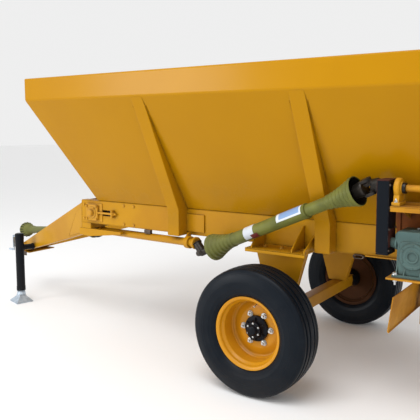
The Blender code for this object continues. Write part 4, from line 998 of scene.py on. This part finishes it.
def wrapped(place, radius, low, high, sweep_from, sweep):
    """A thin sticker bent round a tube."""
    bm = bmesh.new()
    line = [bm.verts.new((radius, 0, low)), bm.verts.new((radius, 0, high))]
    edge = bm.edges.new(line)
    bmesh.ops.rotate(bm, verts=line, cent=(0, 0, 0),
                     matrix=Matrix.Rotation(math.radians(sweep_from), 3, "Z"))
    bmesh.ops.spin(bm, geom=line + [edge], cent=(0, 0, 0), axis=(0, 0, 1), angle=math.radians(sweep),
                   steps=14)
    bmesh.ops.solidify(bm, geom=bm.faces[:], thickness=0.0006)
    bm.transform(place)
    return bm


sticker_line = toward(on_line(side_start, side_end, 0.120), side_end)
piece("guard_label_pale", [wrapped(sticker_line, 0.0424, 0.600, 0.790, 150, 120)], pale_label)
piece("guard_label_blue", [wrapped(sticker_line, 0.0429, 0.622, 0.778, 172, 82)], blue_label)
piece("guard_label_small", [wrapped(sticker_line, 0.0432, 0.318, 0.402, 150, 165)], pale_label)
piece("guard_label_red", [wrapped(sticker_line, 0.0438, 0.372, 0.430, 282, 46)], red_label)

tube_front, tube_rear = (-1.735, -0.340, 0.765), (-0.600, -0.552, 0.808)
tube_parts = [rod(tube_front, on_line(tube_rear, tube_front, 0.004), 0.0275),
              turned([(0.0285, 0.020), (0.0400, 0.020), (0.0420, 0.016), (0.0420, 0.002), (0.0400, 0.0),
                      (0.0, 0.0), (0.0, 0.020)], toward(tube_rear, tube_front), 36),
              turned([(0.0, 0.0), (0.036, 0.0), (0.038, 0.004), (0.038, 0.022), (0.034, 0.026),
                      (0.0, 0.026)], toward(tube_front, tube_rear), 36)]
piece("lower_drive_tube", tube_parts, frame_paint, stands_for=["lower_shaft_tube"])
piece("tube_end_joint",
      [rod(tube_rear, on_line(tube_rear, side_start, 0.004), 0.036), rod(tube_rear, side_start, 0.030)],
      greasy)
tube_way = (Vector(tube_front) - Vector(tube_rear)).normalized()
tube_ring = bolt_circle(toward(tube_rear, tube_front), 0.0345, 0.0200, 40, 4)
piece("drive_tube_bolts", [bolts(tube_ring, tube_way, 0.011)], casting_yellow)
# A bracket from the rail holds the tube's rear end in a split clamp.
clamp = toward(on_line(tube_rear, tube_front, 0.060), tube_front)
bracket = [turned([(0.0279, 0.0), (0.0410, 0.0), (0.0425, 0.003), (0.0425, 0.037), (0.0410, 0.040),
                   (0.0279, 0.040)], clamp, 36),
           slab([(-0.735, 0.870), (-0.585, 0.870), (-0.585, 0.992), (-0.735, 0.992)], 0.010,
                side_on(-RAIL_Y - 0.0054), 0.002),
           slab([(-RAIL_Y - 0.009, 0.868), (-0.520, 0.868), (-0.566, 0.818), (-0.505, 0.818),
                 (-RAIL_Y - 0.009, 0.842)][::-1], 0.010, end_on(-0.700), 0.001)]
piece("drive_tube_bracket", bracket, frame_paint)

# ------------------------------------------------------------------ upper shaft
# A folded shelf on the hopper's flank carries a cast pillow block.  The shaft runs in a yellow
# tube from the block to the beater's gearbox.
SHAFT_Y, SHAFT_Z, SHELF_Z = -0.760, 1.275, 1.180
mucky_yellow = finish("mucky_yellow", (0.56, 0.26, 0.008), (0.38, 0.155, 0.008), gloss=(0.36, 0.5),
                      shine=0.15, tone=5.0, waves=(4.0, 1.0), grain=(120.0, 0.3), bump=0.4,
                      dust=(0.2, 1.6, 0.9, 0.75), dust_colour=(0.16, 0.075, 0.030), shade_and_grime=(0.09, 0.9),
                      shade_and_grime_colour=(0.060, 0.026, 0.014), wear=(0.004, 0.5))
shelf_rear = 1.370
wall = -(wall_y(SHELF_Z) + 0.005)
face = -(RAIL_Y + SHEET + 0.0012)
outline = [(0.822, -0.820), (shelf_rear, -0.820), (shelf_rear, face), (1.080, face), (1.080, wall),
           (0.822, wall)]
parts = [slab(outline, 0.006, Matrix.Translation((0, 0, SHELF_Z + 0.003)), 0.001),
         bar((0.822, -0.820, SHELF_Z - 0.022), (shelf_rear, -0.815, SHELF_Z + 0.004), 0.0015)]
for x, inner, depth in ((0.850, wall, 0.110), (1.300, face, 0.150)):
    low_y = wall_y(SHELF_Z - depth) if inner == wall else -face
    foot_y = -(low_y + 0.006) if inner == wall else face
    parts.append(slab([(-0.800, SHELF_Z + 0.001), (inner, SHELF_Z + 0.001), (foot_y, SHELF_Z - depth)],
                      0.008, end_on(x + 0.004), 0.001))
parts.append(rod((0.884, SHAFT_Y, SHAFT_Z), (1.179, SHAFT_Y, SHAFT_Z), 0.0178))
# A plate behind the gearbox, under the shelf: its red-brown is partly painted shade and partly dirt on the
# plate.
red_brown_shaded_panel = finish("panel_red_brown", (0.34, 0.095, 0.010), (0.19, 0.050, 0.010), gloss=(0.42, 0.4),
                     shine=0.15, tone=6.0, waves=(5.0, 1.0), grain=(140.0, 0.5), bump=0.4,
                     dust=(0.5, 1.5, 0.8, 0.7), dust_colour=(0.085, 0.036, 0.020), shade_and_grime=(0.10, 0.85),
                     shade_and_grime_colour=(0.045, 0.020, 0.014), wear=(0.004, 0.5))
panel_outline = [(0.785, 0.990), (0.800, 0.874), (0.8225, 0.874), (0.8225, 0.830), (shelf_rear, 0.830),
                 (shelf_rear, SHELF_Z - 0.0005), (0.768, SHELF_Z - 0.0005)]
panel = [cut_plate([panel_outline, arc((CONVEYOR_REAR, CONVEYOR_Z), 0.032, 0, 345, 23)], 0.008,
                   side_on(-0.582)), bar((0.8000, -0.592, 0.880), (0.8060, -0.585, SHELF_Z - 0.030), 0.001),
         bar((1.100, -0.592, 0.860), (1.106, -0.585, SHELF_Z - 0.001), 0.001)]
piece("drive_panel", panel, red_brown_shaded_panel)
piece("shaft_shelf", parts, mucky_yellow, stands_for=["upper_shaft_shelf"])
block = [bar((0.824, -0.812, SHELF_Z + 0.006), (0.868, -0.708, SHELF_Z + 0.026), 0.004),
         slab([(-0.806, SHELF_Z + 0.024), (-0.714, SHELF_Z + 0.024), (-0.722, SHAFT_Z - 0.030),
               (-0.798, SHAFT_Z - 0.030)][::-1], 0.030, end_on(0.846), 0.003),
         turned([(0.0185, -0.021), (0.030, -0.021), (0.034, -0.016), (0.047, -0.014), (0.0515, -0.009),
                 (0.0515, 0.009), (0.047, 0.014), (0.034, 0.016), (0.030, 0.021), (0.0185, 0.021)],
                Matrix.Translation((0.846, SHAFT_Y, SHAFT_Z)) @ Matrix.Rotation(math.pi / 2, 4, "Y"), 48)]
piece("pillow_block", block, casting_yellow)
collar = [turned([(0.0182, 0.0), (0.0280, 0.0), (0.0290, 0.002), (0.0290, 0.014), (0.0280, 0.016),
                  (0.0182, 0.016)],
                 Matrix.Translation((0.868, SHAFT_Y, SHAFT_Z)) @ Matrix.Rotation(math.pi / 2, 4, "Y"), 32),
          rod((0.700, SHAFT_Y, SHAFT_Z), (0.7495, SHAFT_Y, SHAFT_Z), 0.0225),
          rod((0.816, SHAFT_Y, SHAFT_Z), (0.824, SHAFT_Y, SHAFT_Z), 0.017),
          rod((0.728, SHAFT_Y, SHAFT_Z), (0.7495, SHAFT_Y, SHAFT_Z), 0.030)]
piece("shaft_collars", collar, greasy)
piece("shelf_bolts",
      [bolts([(0.846, -0.799, SHELF_Z + 0.026), (0.846, -0.721, SHELF_Z + 0.026)], (0, 0, 1), 0.017,
             stud=0.008),
       bolts([(1.215, -0.815, SHELF_Z + 0.006), (1.320, -0.815, SHELF_Z + 0.006)], (0, 0, 1), 0.010)],
      bright_zinc)

# ------------------------------------------------------------------ belt case
# A black pressed box round the belt that takes the drive down to the conveyor's gearbox.  A screwed
# lid closes its rear, and bare red primer shows on its cap, its front flange and a patch of the lid.
primer_red = finish("primer_red", (0.085, 0.020, 0.016), (0.040, 0.012, 0.011), gloss=(0.45, 0.35),
                    shine=0.1, tone=12.0, waves=(8.0, 0.6), grain=(260.0, 0.4), dust=(0.6, 1.5, 0.8, 0.35),
                    dust_colour=(0.12, 0.06, 0.03), shade_and_grime=(0.03, 0.5))
case_low, case_high = 0.932, 1.318
piece("belt_case_body",
      [bar((0.7515, SHAFT_Y - 0.0600, case_low + 0.006), (0.8125, SHAFT_Y + 0.0590, case_high - 0.006),
           0.004),
       bar((0.7505, SHAFT_Y - 0.0600, case_low), (0.8145, SHAFT_Y + 0.0600, case_low + 0.007), 0.0015),
       turned([(0, 0), (0.044, 0), (0.044, 0.0008), (0.040, 0.0015), (0, 0.0015)],
              toward((0.7515, SHAFT_Y, SHAFT_Z - 0.018), (-2, SHAFT_Y, SHAFT_Z - 0.018)), 40)], black_paint,
      stands_for=["belt_case"])
piece("belt_case_lid",
      [bar((0.8120, SHAFT_Y - 0.0597, case_low + 0.007), (0.8145, SHAFT_Y + 0.0598, case_high - 0.005),
           0.0010)], black_paint)
piece("belt_case_trim",
      [bar((0.8140, SHAFT_Y - 0.0540, 0.972), (0.8150, SHAFT_Y + 0.0540, 1.064), 0.0004),
       bar((0.7500, SHAFT_Y - 0.0598, case_low + 0.010), (0.7525, SHAFT_Y + 0.0598, case_high - 0.010),
           0.0010),
       bar((0.7502, SHAFT_Y - 0.0600, case_high - 0.0065), (0.8150, SHAFT_Y + 0.0600, case_high), 0.0015)],
      primer_red)
screw_points = [(0.8150, SHAFT_Y + side * 0.0500, z) for side in (-1, 1)
                for z in (0.955, 1.065, 1.175, 1.290)]
piece("belt_case_screws",
      [bolts(screw_points, (1, 0, 0), 0.010),
       bolts([(0.7500, SHAFT_Y, 0.992), (0.7500, SHAFT_Y - 0.022, 1.06), (0.7500, SHAFT_Y + 0.022, 1.06)],
             (-1, 0, 0), 0.012)], dark_steel)

# ------------------------------------------------------------------ conveyor gearbox
# A cast worm box in grey-green paint, bolted by its foot to an angle shelf outside the left rail.
# Its round bearing cover faces out, and its input neck faces the belt case.
gearbox_paint = finish("gearbox_paint", (0.075, 0.135, 0.128), (0.052, 0.098, 0.096), gloss=(0.38, 0.4),
                       shine=0.18, tone=7.0, waves=(16.0, 1.0), grain=(190.0, 0.8), bump=0.5,
                       dust=(0.4, 1.5, 0.9, 0.30), dust_colour=(0.15, 0.15, 0.10), shade_and_grime=(0.025, 0.8),
                       shade_and_grime_colour=(0.030, 0.030, 0.022), wear=(0.003, 0.35),
                       wear_colour=(0.22, 0.22, 0.20))
base = 0.8224
body = [(0.848, base + 0.012), (1.024, base + 0.012), (1.020, 0.985), (1.032, 1.012), (1.033, 1.040),
        (1.016, 1.058), (0.856, 1.058), (0.839, 1.040), (0.840, 1.012), (0.852, 0.985)]
parts = [slab(body, 0.162, side_on(-0.7075), 0.008),
         slab([(0.862, base + 0.014), (1.010, base + 0.014), (1.006, 0.995), (0.990, 1.008), (0.882, 1.008),
               (0.866, 0.995)], 0.174, side_on(-0.7075), 0.005),
         slab([(0.834, -0.813), (1.043, -0.813), (1.043, -0.592), (0.834, -0.592)], 0.014,
              Matrix.Translation((0, 0, base + 0.0072)), 0.003),
         turned([(0.024, 0.016), (0.030, 0.018), (0.034, 0.0125), (0.050, 0.0115), (0.054, 0.0140),
                 (0.064, 0.0140), (0.067, 0.010), (0.067, 0.0), (0.0, 0.0), (0.0, 0.009), (0.020, 0.009),
                 (0.024, 0.0105)], outward(CONVEYOR_REAR, -0.7915, CONVEYOR_Z, -1), 56),
         turned([(0, 0), (0.034, 0), (0.034, 0.010), (0.026, 0.016), (0.0255, 0.034), (0, 0.034)],
                toward((0.850, SHAFT_Y, 0.992), (0.60, SHAFT_Y, 0.992)), 32),
         bar((0.905, -0.745, 1.054), (0.968, -0.670, 1.0618), 0.002)]
for x in (0.856, 0.896, 0.976, 1.016):
    parts.append(slab([(-0.782, base + 0.010), (-0.782, base + 0.070), (-0.808, base + 0.018),
                       (-0.808, base + 0.010)], 0.006, end_on(x), 0.001))
for z in (0.880, 0.930, 0.980):
    parts.append(bar((1.020, -0.775, z - 0.004), (1.0290, -0.640, z + 0.004), 0.001))
piece("worm_gearbox", parts, gearbox_paint, stands_for=["conveyor_gearbox"])
cover_ring = bolt_circle(outward(CONVEYOR_REAR, -0.8050, CONVEYOR_Z, -1), 0.059, 0, 30)
foot_points = [(0.850, -0.802, base + 0.0142), (1.028, -0.802, base + 0.0142),
               (0.850, -0.604, base + 0.0142), (1.028, -0.604, base + 0.0142)]
shelf_nuts = [(x, y, 0.8118) for x, y, z in foot_points]
piece("gearbox_cover_screws", [bolts(cover_ring, (0, -1, 0), 0.009, washer=False)], gearbox_paint)
piece("gearbox_bolts",
      [bolts(foot_points, (0, 0, 1), 0.020), bolts(shelf_nuts, (0, 0, -1), 0.020, stud=0.016),
       bolts([(0.936, -0.708, 1.0615)], (0, 0, 1), 0.014, washer=False)], bright_zinc)
rail_face = -(RAIL_Y + 0.0004)
angle = [(-0.830, 0.812), (rail_face, 0.812), (rail_face, 0.872), (rail_face - 0.008, 0.872),
         (rail_face - 0.008, 0.822), (-0.830, 0.822)]
parts = [slab(angle, 0.252, end_on(0.936), 0.0015)]
for x in (0.816, 1.054):
    parts.append(weld((x, rail_face - 0.010, 0.824), (x, -0.60, 0.824), 0.003))
piece("gearbox_angle", parts, mucky_yellow, stands_for=["gearbox_shelf"])

# ------------------------------------------------------------------ beater gearbox and chain case
# A cast bevel box on the shelf turns the drive across to the beater.  On the right, a pressed case
# covers the chain that runs down from the beater to the discs.
parts = [bar((1.184, -0.828, 1.1865), (1.351, -0.694, 1.200), 0.003),
         bar((1.196, -0.816, 1.196), (1.339, -0.700, 1.340), 0.012),
         turned([(0, 0), (0.052, 0), (0.054, 0.003), (0.054, 0.012), (0.030, 0.015), (0, 0.015)],
                outward(1.27, -0.8165, 1.27, -1), 40),
         turned([(0, 0), (0.044, 0), (0.046, 0.003), (0.044, 0.011), (0, 0.011)],
                outward(1.27, -0.7005, 1.27, 1), 40),
         turned([(0, 0), (0.042, 0), (0.044, 0.003), (0.034, 0.014), (0, 0.014)],
                toward((1.1955, SHAFT_Y, SHAFT_Z), (0.5, SHAFT_Y, SHAFT_Z)), 40),
         bar((1.235, -0.790, 1.339), (1.305, -0.725, 1.3465), 0.002)]
piece("bevel_gearbox", parts, gearbox_paint, stands_for=["beater_gearbox"])
piece("bevel_box_bolts",
      [bolts(bolt_circle(outward(1.27, -0.8285, 1.27, -1), 0.045, 0), (0, -1, 0), 0.006, washer=False),
       bolts([(1.192, -0.80, 1.200), (1.345, -0.80, 1.200), (1.192, -0.715, 1.200), (1.345, -0.715, 1.200)],
             (0, 0, 1), 0.010)], bright_zinc)
BEATER_X, BEATER_Z, DISC_X, DISC_Y, DISC_Z, DISC_R, ARM_Y = 1.270, 1.270, 1.240, 0.360, 0.600, 0.310, 0.300


def case_outline(less):
    return (arc((BEATER_X, BEATER_Z), 0.085 - less, 0, 180, 14)
            + arc((DISC_X, 0.530), 0.070 - less, 180, 180, 14))


parts = [slab(case_outline(0.003), 0.030, side_on(0.718), 0.004),
         slab(case_outline(0.0), 0.005, side_on(0.7345), 0.001),
         slab(case_outline(0.004), 0.022, side_on(0.748), 0.005),
         bar((1.225, RAIL_Y + SHEET + 0.0014, 1.100), (1.290, 0.705, 1.180), 0.004),
         turned([(0, 0), (0.030, 0), (0.032, 0.0015), (0.0, 0.0025)],
                outward(BEATER_X, 0.7590, BEATER_Z, 1), 32)]
piece("chain_case_halves", parts, black_paint, stands_for=["chain_case"])
edge_screws = [(top + (low - top) * (BEATER_Z - z) / 0.74 + inward, 0.737, z) for top, low,
               inward in ((1.1845, 1.172, 0.004), (1.355, 1.310, -0.004))
               for z in (0.60, 0.75, 0.90, 1.05, 1.20)]
piece("chain_case_screws", [bolts(edge_screws, (0, 1, 0), 0.008)], bright_zinc)

# ------------------------------------------------------------------ rear gate
# A plate that slides up the rear wall in folded guides.  A flange stiffens its top edge, and two
# toothed racks run down its outer face.
up_wall = Vector((TOP_REAR - FOOT_REAR, 0, CREASE_Z - RAIL_TOP)).normalized()
off_wall = Vector((up_wall.z, 0, -up_wall.x))
WALL = (Matrix.Translation((FOOT_REAR, 0, RAIL_TOP))
        @ Matrix((off_wall, Vector((0, 1, 0)), up_wall)).transposed().to_4x4())
parts = [bar((0.0060, -0.430, 0.006), (0.0120, 0.430, 0.352), 0.001, WALL),
         bar((0.0115, -0.395, 0.330), (0.038, 0.395, 0.336), 0.0015, WALL)]
for y in (-0.26, 0.26):
    parts.append(bar((0.0115, y - 0.014, 0.060), (0.0205, y + 0.014, 0.330), 0.001, WALL))
    for k in range(13):
        parts.append(bar((0.020, y - 0.013, 0.070 + 0.020 * k), (0.0255, y + 0.013, 0.079 + 0.020 * k),
                         0.0008, WALL))
piece("gate_plate", parts, mucky_yellow, "gate", stands_for=["rear_gate"])
parts = [bar((0.0008, -0.441, 0.700), (0.022, 0.441, 0.716), 0.002, WALL)]
for sign in (-1, 1):
    ys = sorted((sign * 0.437, sign * 0.441))
    parts.append(bar((0.0008, ys[0], 0.030), (0.022, ys[1], 0.710), 0.0006, WALL))
    ys = sorted((sign * 0.408, sign * 0.441))
    parts.append(bar((0.018, ys[0], 0.030), (0.022, ys[1], 0.710), 0.0006, WALL))
piece("gate_channels", parts, frame_paint, stands_for=["gate_guides"])
clamp_bolts = [WALL @ Vector((0.022, side * 0.424, z)) for side in (-1, 1)
               for z in (0.08, 0.28, 0.48, 0.67)]
piece("guide_bolts", [bolts(clamp_bolts, off_wall, 0.012)], bright_zinc)

# ------------------------------------------------------------------ beater housing and beater
# Two cheeks and a bent hood close the back of the machine round the beater, whose toothed bars
# break up the load before it drops on the discs.
BARS, BAR_Y = 8, 0.385
y = RAIL_Y + SHEET + 0.0004
hood = ((1.190, 1.478), (1.300, 1.500), (1.470, 1.410), (1.470, 1.240))
edge = SHEET / 2
cheek = [(1.075, 0.880), (1.200, 0.880), (1.470 - edge, 1.060), (1.470 - edge, 1.410 - edge),
         (1.300, 1.500 - edge), (1.190, 1.478 - edge), (1.108, 1.460), (0.975, 1.040), (1.075, 1.040)]
parts = [folded([(x, -y, z) for x, z in hood], [(x, y, z) for x, z in hood], (1.27, 0, 1.27), 0.014)]
for sign in (-1, 1):
    middle = sign * (RAIL_Y + 0.0004 + y) / 2
    parts.append(cut_plate([cheek, arc((BEATER_X, BEATER_Z), 0.0265, 0, 345, 23)], SHEET, side_on(middle),
                           0.0008))
    for (x1, z1), (x2, z2) in zip(cheek[1:5], cheek[2:6]):
        a, b = Vector((x1, sign * (y + 0.0005), z1)), Vector((x2, sign * (y + 0.0005), z2))
        parts.append(weld(a + (b - a) * 0.06, a + (b - a) * 0.94, 0.0030))
parts.append(bar((1.462, -y + 0.004, 1.238), (1.4695, y - 0.004, 1.256), 0.001))
piece("beater_hood", parts, mucky_yellow, stands_for=["beater_housing"])
bearing_parts, bearing_bolts = [], []
for sign in (-1, 1):
    out_y = sign * (y + 0.0002)
    bearing_parts.append(turned([(0.0206, 0.0), (0.060, 0.0), (0.062, 0.003), (0.062, 0.010),
                                 (0.050, 0.014), (0.036, 0.026), (0.0206, 0.028)],
                                outward(BEATER_X, out_y, BEATER_Z, sign), 40))
    bearing_bolts += [((BEATER_X + 0.053 * math.cos(math.radians(a)), out_y + sign * 0.010,
                        BEATER_Z + 0.053 * math.sin(math.radians(a))), sign) for a in (45, 135, 225, 315)]
piece("beater_bearings", bearing_parts, casting_yellow)
piece("beater_bearing_bolts",
      [bolts([p for p, s in bearing_bolts if s == sign], (0, sign, 0), 0.013) for sign in (-1, 1)],
      bright_zinc)


def bar_place(i):
    """Where a toothed bar sits on the beater, each an eighth of a turn on from the last."""
    return (Matrix.Translation((BEATER_X, -BAR_Y + 2 * BAR_Y * i / (BARS - 1), BEATER_Z))
            @ Matrix.Rotation(math.radians(360 / BARS * i), 4, "Y"))


parts = [rod((BEATER_X, -0.430, BEATER_Z), (BEATER_X, 0.430, BEATER_Z), 0.0445, sides=40, ease=0.002)]
for i in range(BARS):
    turn = bar_place(i)
    tooth = [(-0.170, -0.012), (-0.150, -0.024), (0.150, -0.024), (0.170, -0.012), (0.165, 0.006),
             (0.150, 0.024), (-0.150, 0.024), (-0.165, 0.006)]
    parts.append(slab(tooth, 0.010, turn @ SIDEWAYS, 0.0015))
piece("beater_tube", parts, mucky_yellow, "beater", stands_for=["beater_rotor"])
parts = [rod((BEATER_X, -0.6893, BEATER_Z), (BEATER_X, 0.7013, BEATER_Z), 0.0199, sides=32)]
for i in range(BARS):
    turn = bar_place(i)
    for way in (-1, 1):
        for flat in (-1, 1):
            parts.append(bolts([turn @ Vector((way * 0.135, flat * 0.0050, 0.0))],
                               turn.to_3x3() @ Vector((0, flat, 0)), 0.013, washer=False))
piece("beater_shaft", parts, dark_steel, "beater")

# ------------------------------------------------------------------ spreading discs and their frame
# Two steel discs with bolted folded vanes, on bevel boxes that sit on arms under the rear
# cross-member.  A wide apron ahead of them keeps the load off the wheels.
disc_steel = finish("disc_yellow", (0.60, 0.25, 0.012), (0.34, 0.14, 0.020), gloss=(0.34, 0.45), metal=0.0,
                    tone=6.0, waves=(5.0, 0.6), grain=(150.0, 0.3), bump=0.35, dust=(0.2, 0.9, 1.0, 0.60),
                    dust_colour=(0.15, 0.080, 0.035), shade_and_grime=(0.04, 0.8), wear=(0.006, 0.8),
                    wear_colour=(0.26, 0.22, 0.19))
for side, sign in (("left", -1), ("right", 1)):
    centre = Matrix.Translation((DISC_X, sign * DISC_Y, DISC_Z))
    profile = [(0.0, 0.0595), (0.020, 0.0595), (0.036, 0.056), (0.044, 0.046), (0.050, 0.022),
               (0.062, 0.009), (0.080, 0.0055), (DISC_R - 0.002, 0.0055), (DISC_R, 0.0045),
               (DISC_R, 0.0010), (DISC_R - 0.002, 0.0), (0.030, 0.0), (0.030, -0.010), (0.0, -0.010)]
    parts = [turned(profile, centre, 72)]
    heads = []
    for i in range(4):
        turn = centre @ Matrix.Rotation(math.radians(90 * i + 45), 4, "Z")
        parts.append(slab([(0.070, 0.0055), (0.298, 0.0055), (0.298, 0.049), (0.110, 0.049),
                           (0.070, 0.030)], 0.004, turn @ SIDEWAYS, 0.0008))
        parts.append(bar((0.070, -0.028, 0.0050), (0.298, 0.001, 0.0090), 0.0008, turn))
        parts.append(bar((0.108, -0.016, 0.0460), (0.298, 0.001, 0.0495), 0.0008, turn))
        heads += [turn @ Vector((r, -0.017, 0.009)) for r in (0.110, 0.190, 0.270)]
    piece("spreading_plate_" + side, parts, disc_steel, "spreading_disc_" + side,
          stands_for=["disc_" + side])
    piece("vane_bolts_" + side,
          [bolts(heads, (0, 0, 1), 0.013),
           bolts([(DISC_X, sign * DISC_Y, DISC_Z + 0.0500)], (0, 0, 1), 0.0165, washer=False)], bright_zinc,
          "spreading_disc_" + side)

top, low = RAIL_BOTTOM - 0.0454 - 0.0008, 0.440
arm = [(0.848, top), (0.848, low), (1.400, low), (1.400, low + 0.048), (0.896, low + 0.048), (0.896, top)]
parts = [bar((0.849, -ARM_Y, low + 0.001), (0.895, ARM_Y, low + 0.047), 0.005)]
for sign in (-1, 1):
    parts.append(slab(arm, 0.048, side_on(sign * ARM_Y), 0.005))
    parts.append(slab([(0.892, low + 0.044), (0.960, low + 0.044), (0.892, low + 0.120)], 0.008,
                      side_on(sign * ARM_Y), 0.001))
    parts.append(weld((0.870, sign * ARM_Y - 0.025, low + 0.046),
                      (0.870, sign * ARM_Y - 0.025, low + 0.002), 0.003))
piece("disc_arms", parts, mucky_yellow, stands_for=["spinner_frame"])
apron = ((0.840, 0.715), (0.838, 0.700), (0.815, 0.530), (0.822, 0.522))
parts = [folded([(x, -0.800, z) for x, z in apron], [(x, 0.800, z) for x, z in apron], (1.2, 0, 0.6),
                0.003)]
piece("apron_sheet", parts, mucky_yellow, stands_for=["spinner_apron"])
floor_z = low + 0.048 + 0.0004
parts = [rod((DISC_X, -DISC_Y, 0.530), (DISC_X, 0.7013, 0.530), 0.0235, sides=32)]
feet = []
for sign in (-1, 1):
    parts += [bar((DISC_X - 0.074, sign * DISC_Y - 0.074, floor_z),
                  (DISC_X + 0.074, sign * DISC_Y + 0.074, floor_z + 0.010), 0.003),
              bar((DISC_X - 0.060, sign * DISC_Y - 0.060, floor_z + 0.006),
                  (DISC_X + 0.060, sign * DISC_Y + 0.060, 0.572), 0.010),
              turned([(0.0, 0.0), (0.045, 0.0), (0.045, 0.006), (0.034, 0.0085), (0.0, 0.0085)],
                     Matrix.Translation((DISC_X, sign * DISC_Y, 0.571)), 36)]
    for way in (-1, 1):
        parts.append(turned([(0, 0), (0.036, 0), (0.038, 0.003), (0.036, 0.012), (0, 0.012)],
                            outward(DISC_X, sign * DISC_Y + way * 0.059, 0.530, way), 36))
    feet += [(DISC_X + a, sign * DISC_Y + b, floor_z + 0.010) for a in (-0.067, 0.067)
             for b in (-0.067, 0.067)]
piece("disc_gearboxes", parts, gearbox_paint, stands_for=["disc_drive"])
piece("disc_gearbox_bolts", [bolts(feet, (0, 0, 1), 0.011)], bright_zinc)

# ------------------------------------------------------------------ finishes on the plain parts
# The floor plate and the rear wall with its cut outlet are flat sheet, so they keep their shape and
# take only their paint here.
for name, paint in (("conveyor_floor", mucky_yellow), ("hopper_rear", hopper_paint)):
    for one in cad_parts[name].material_slots:
        one.material = paint
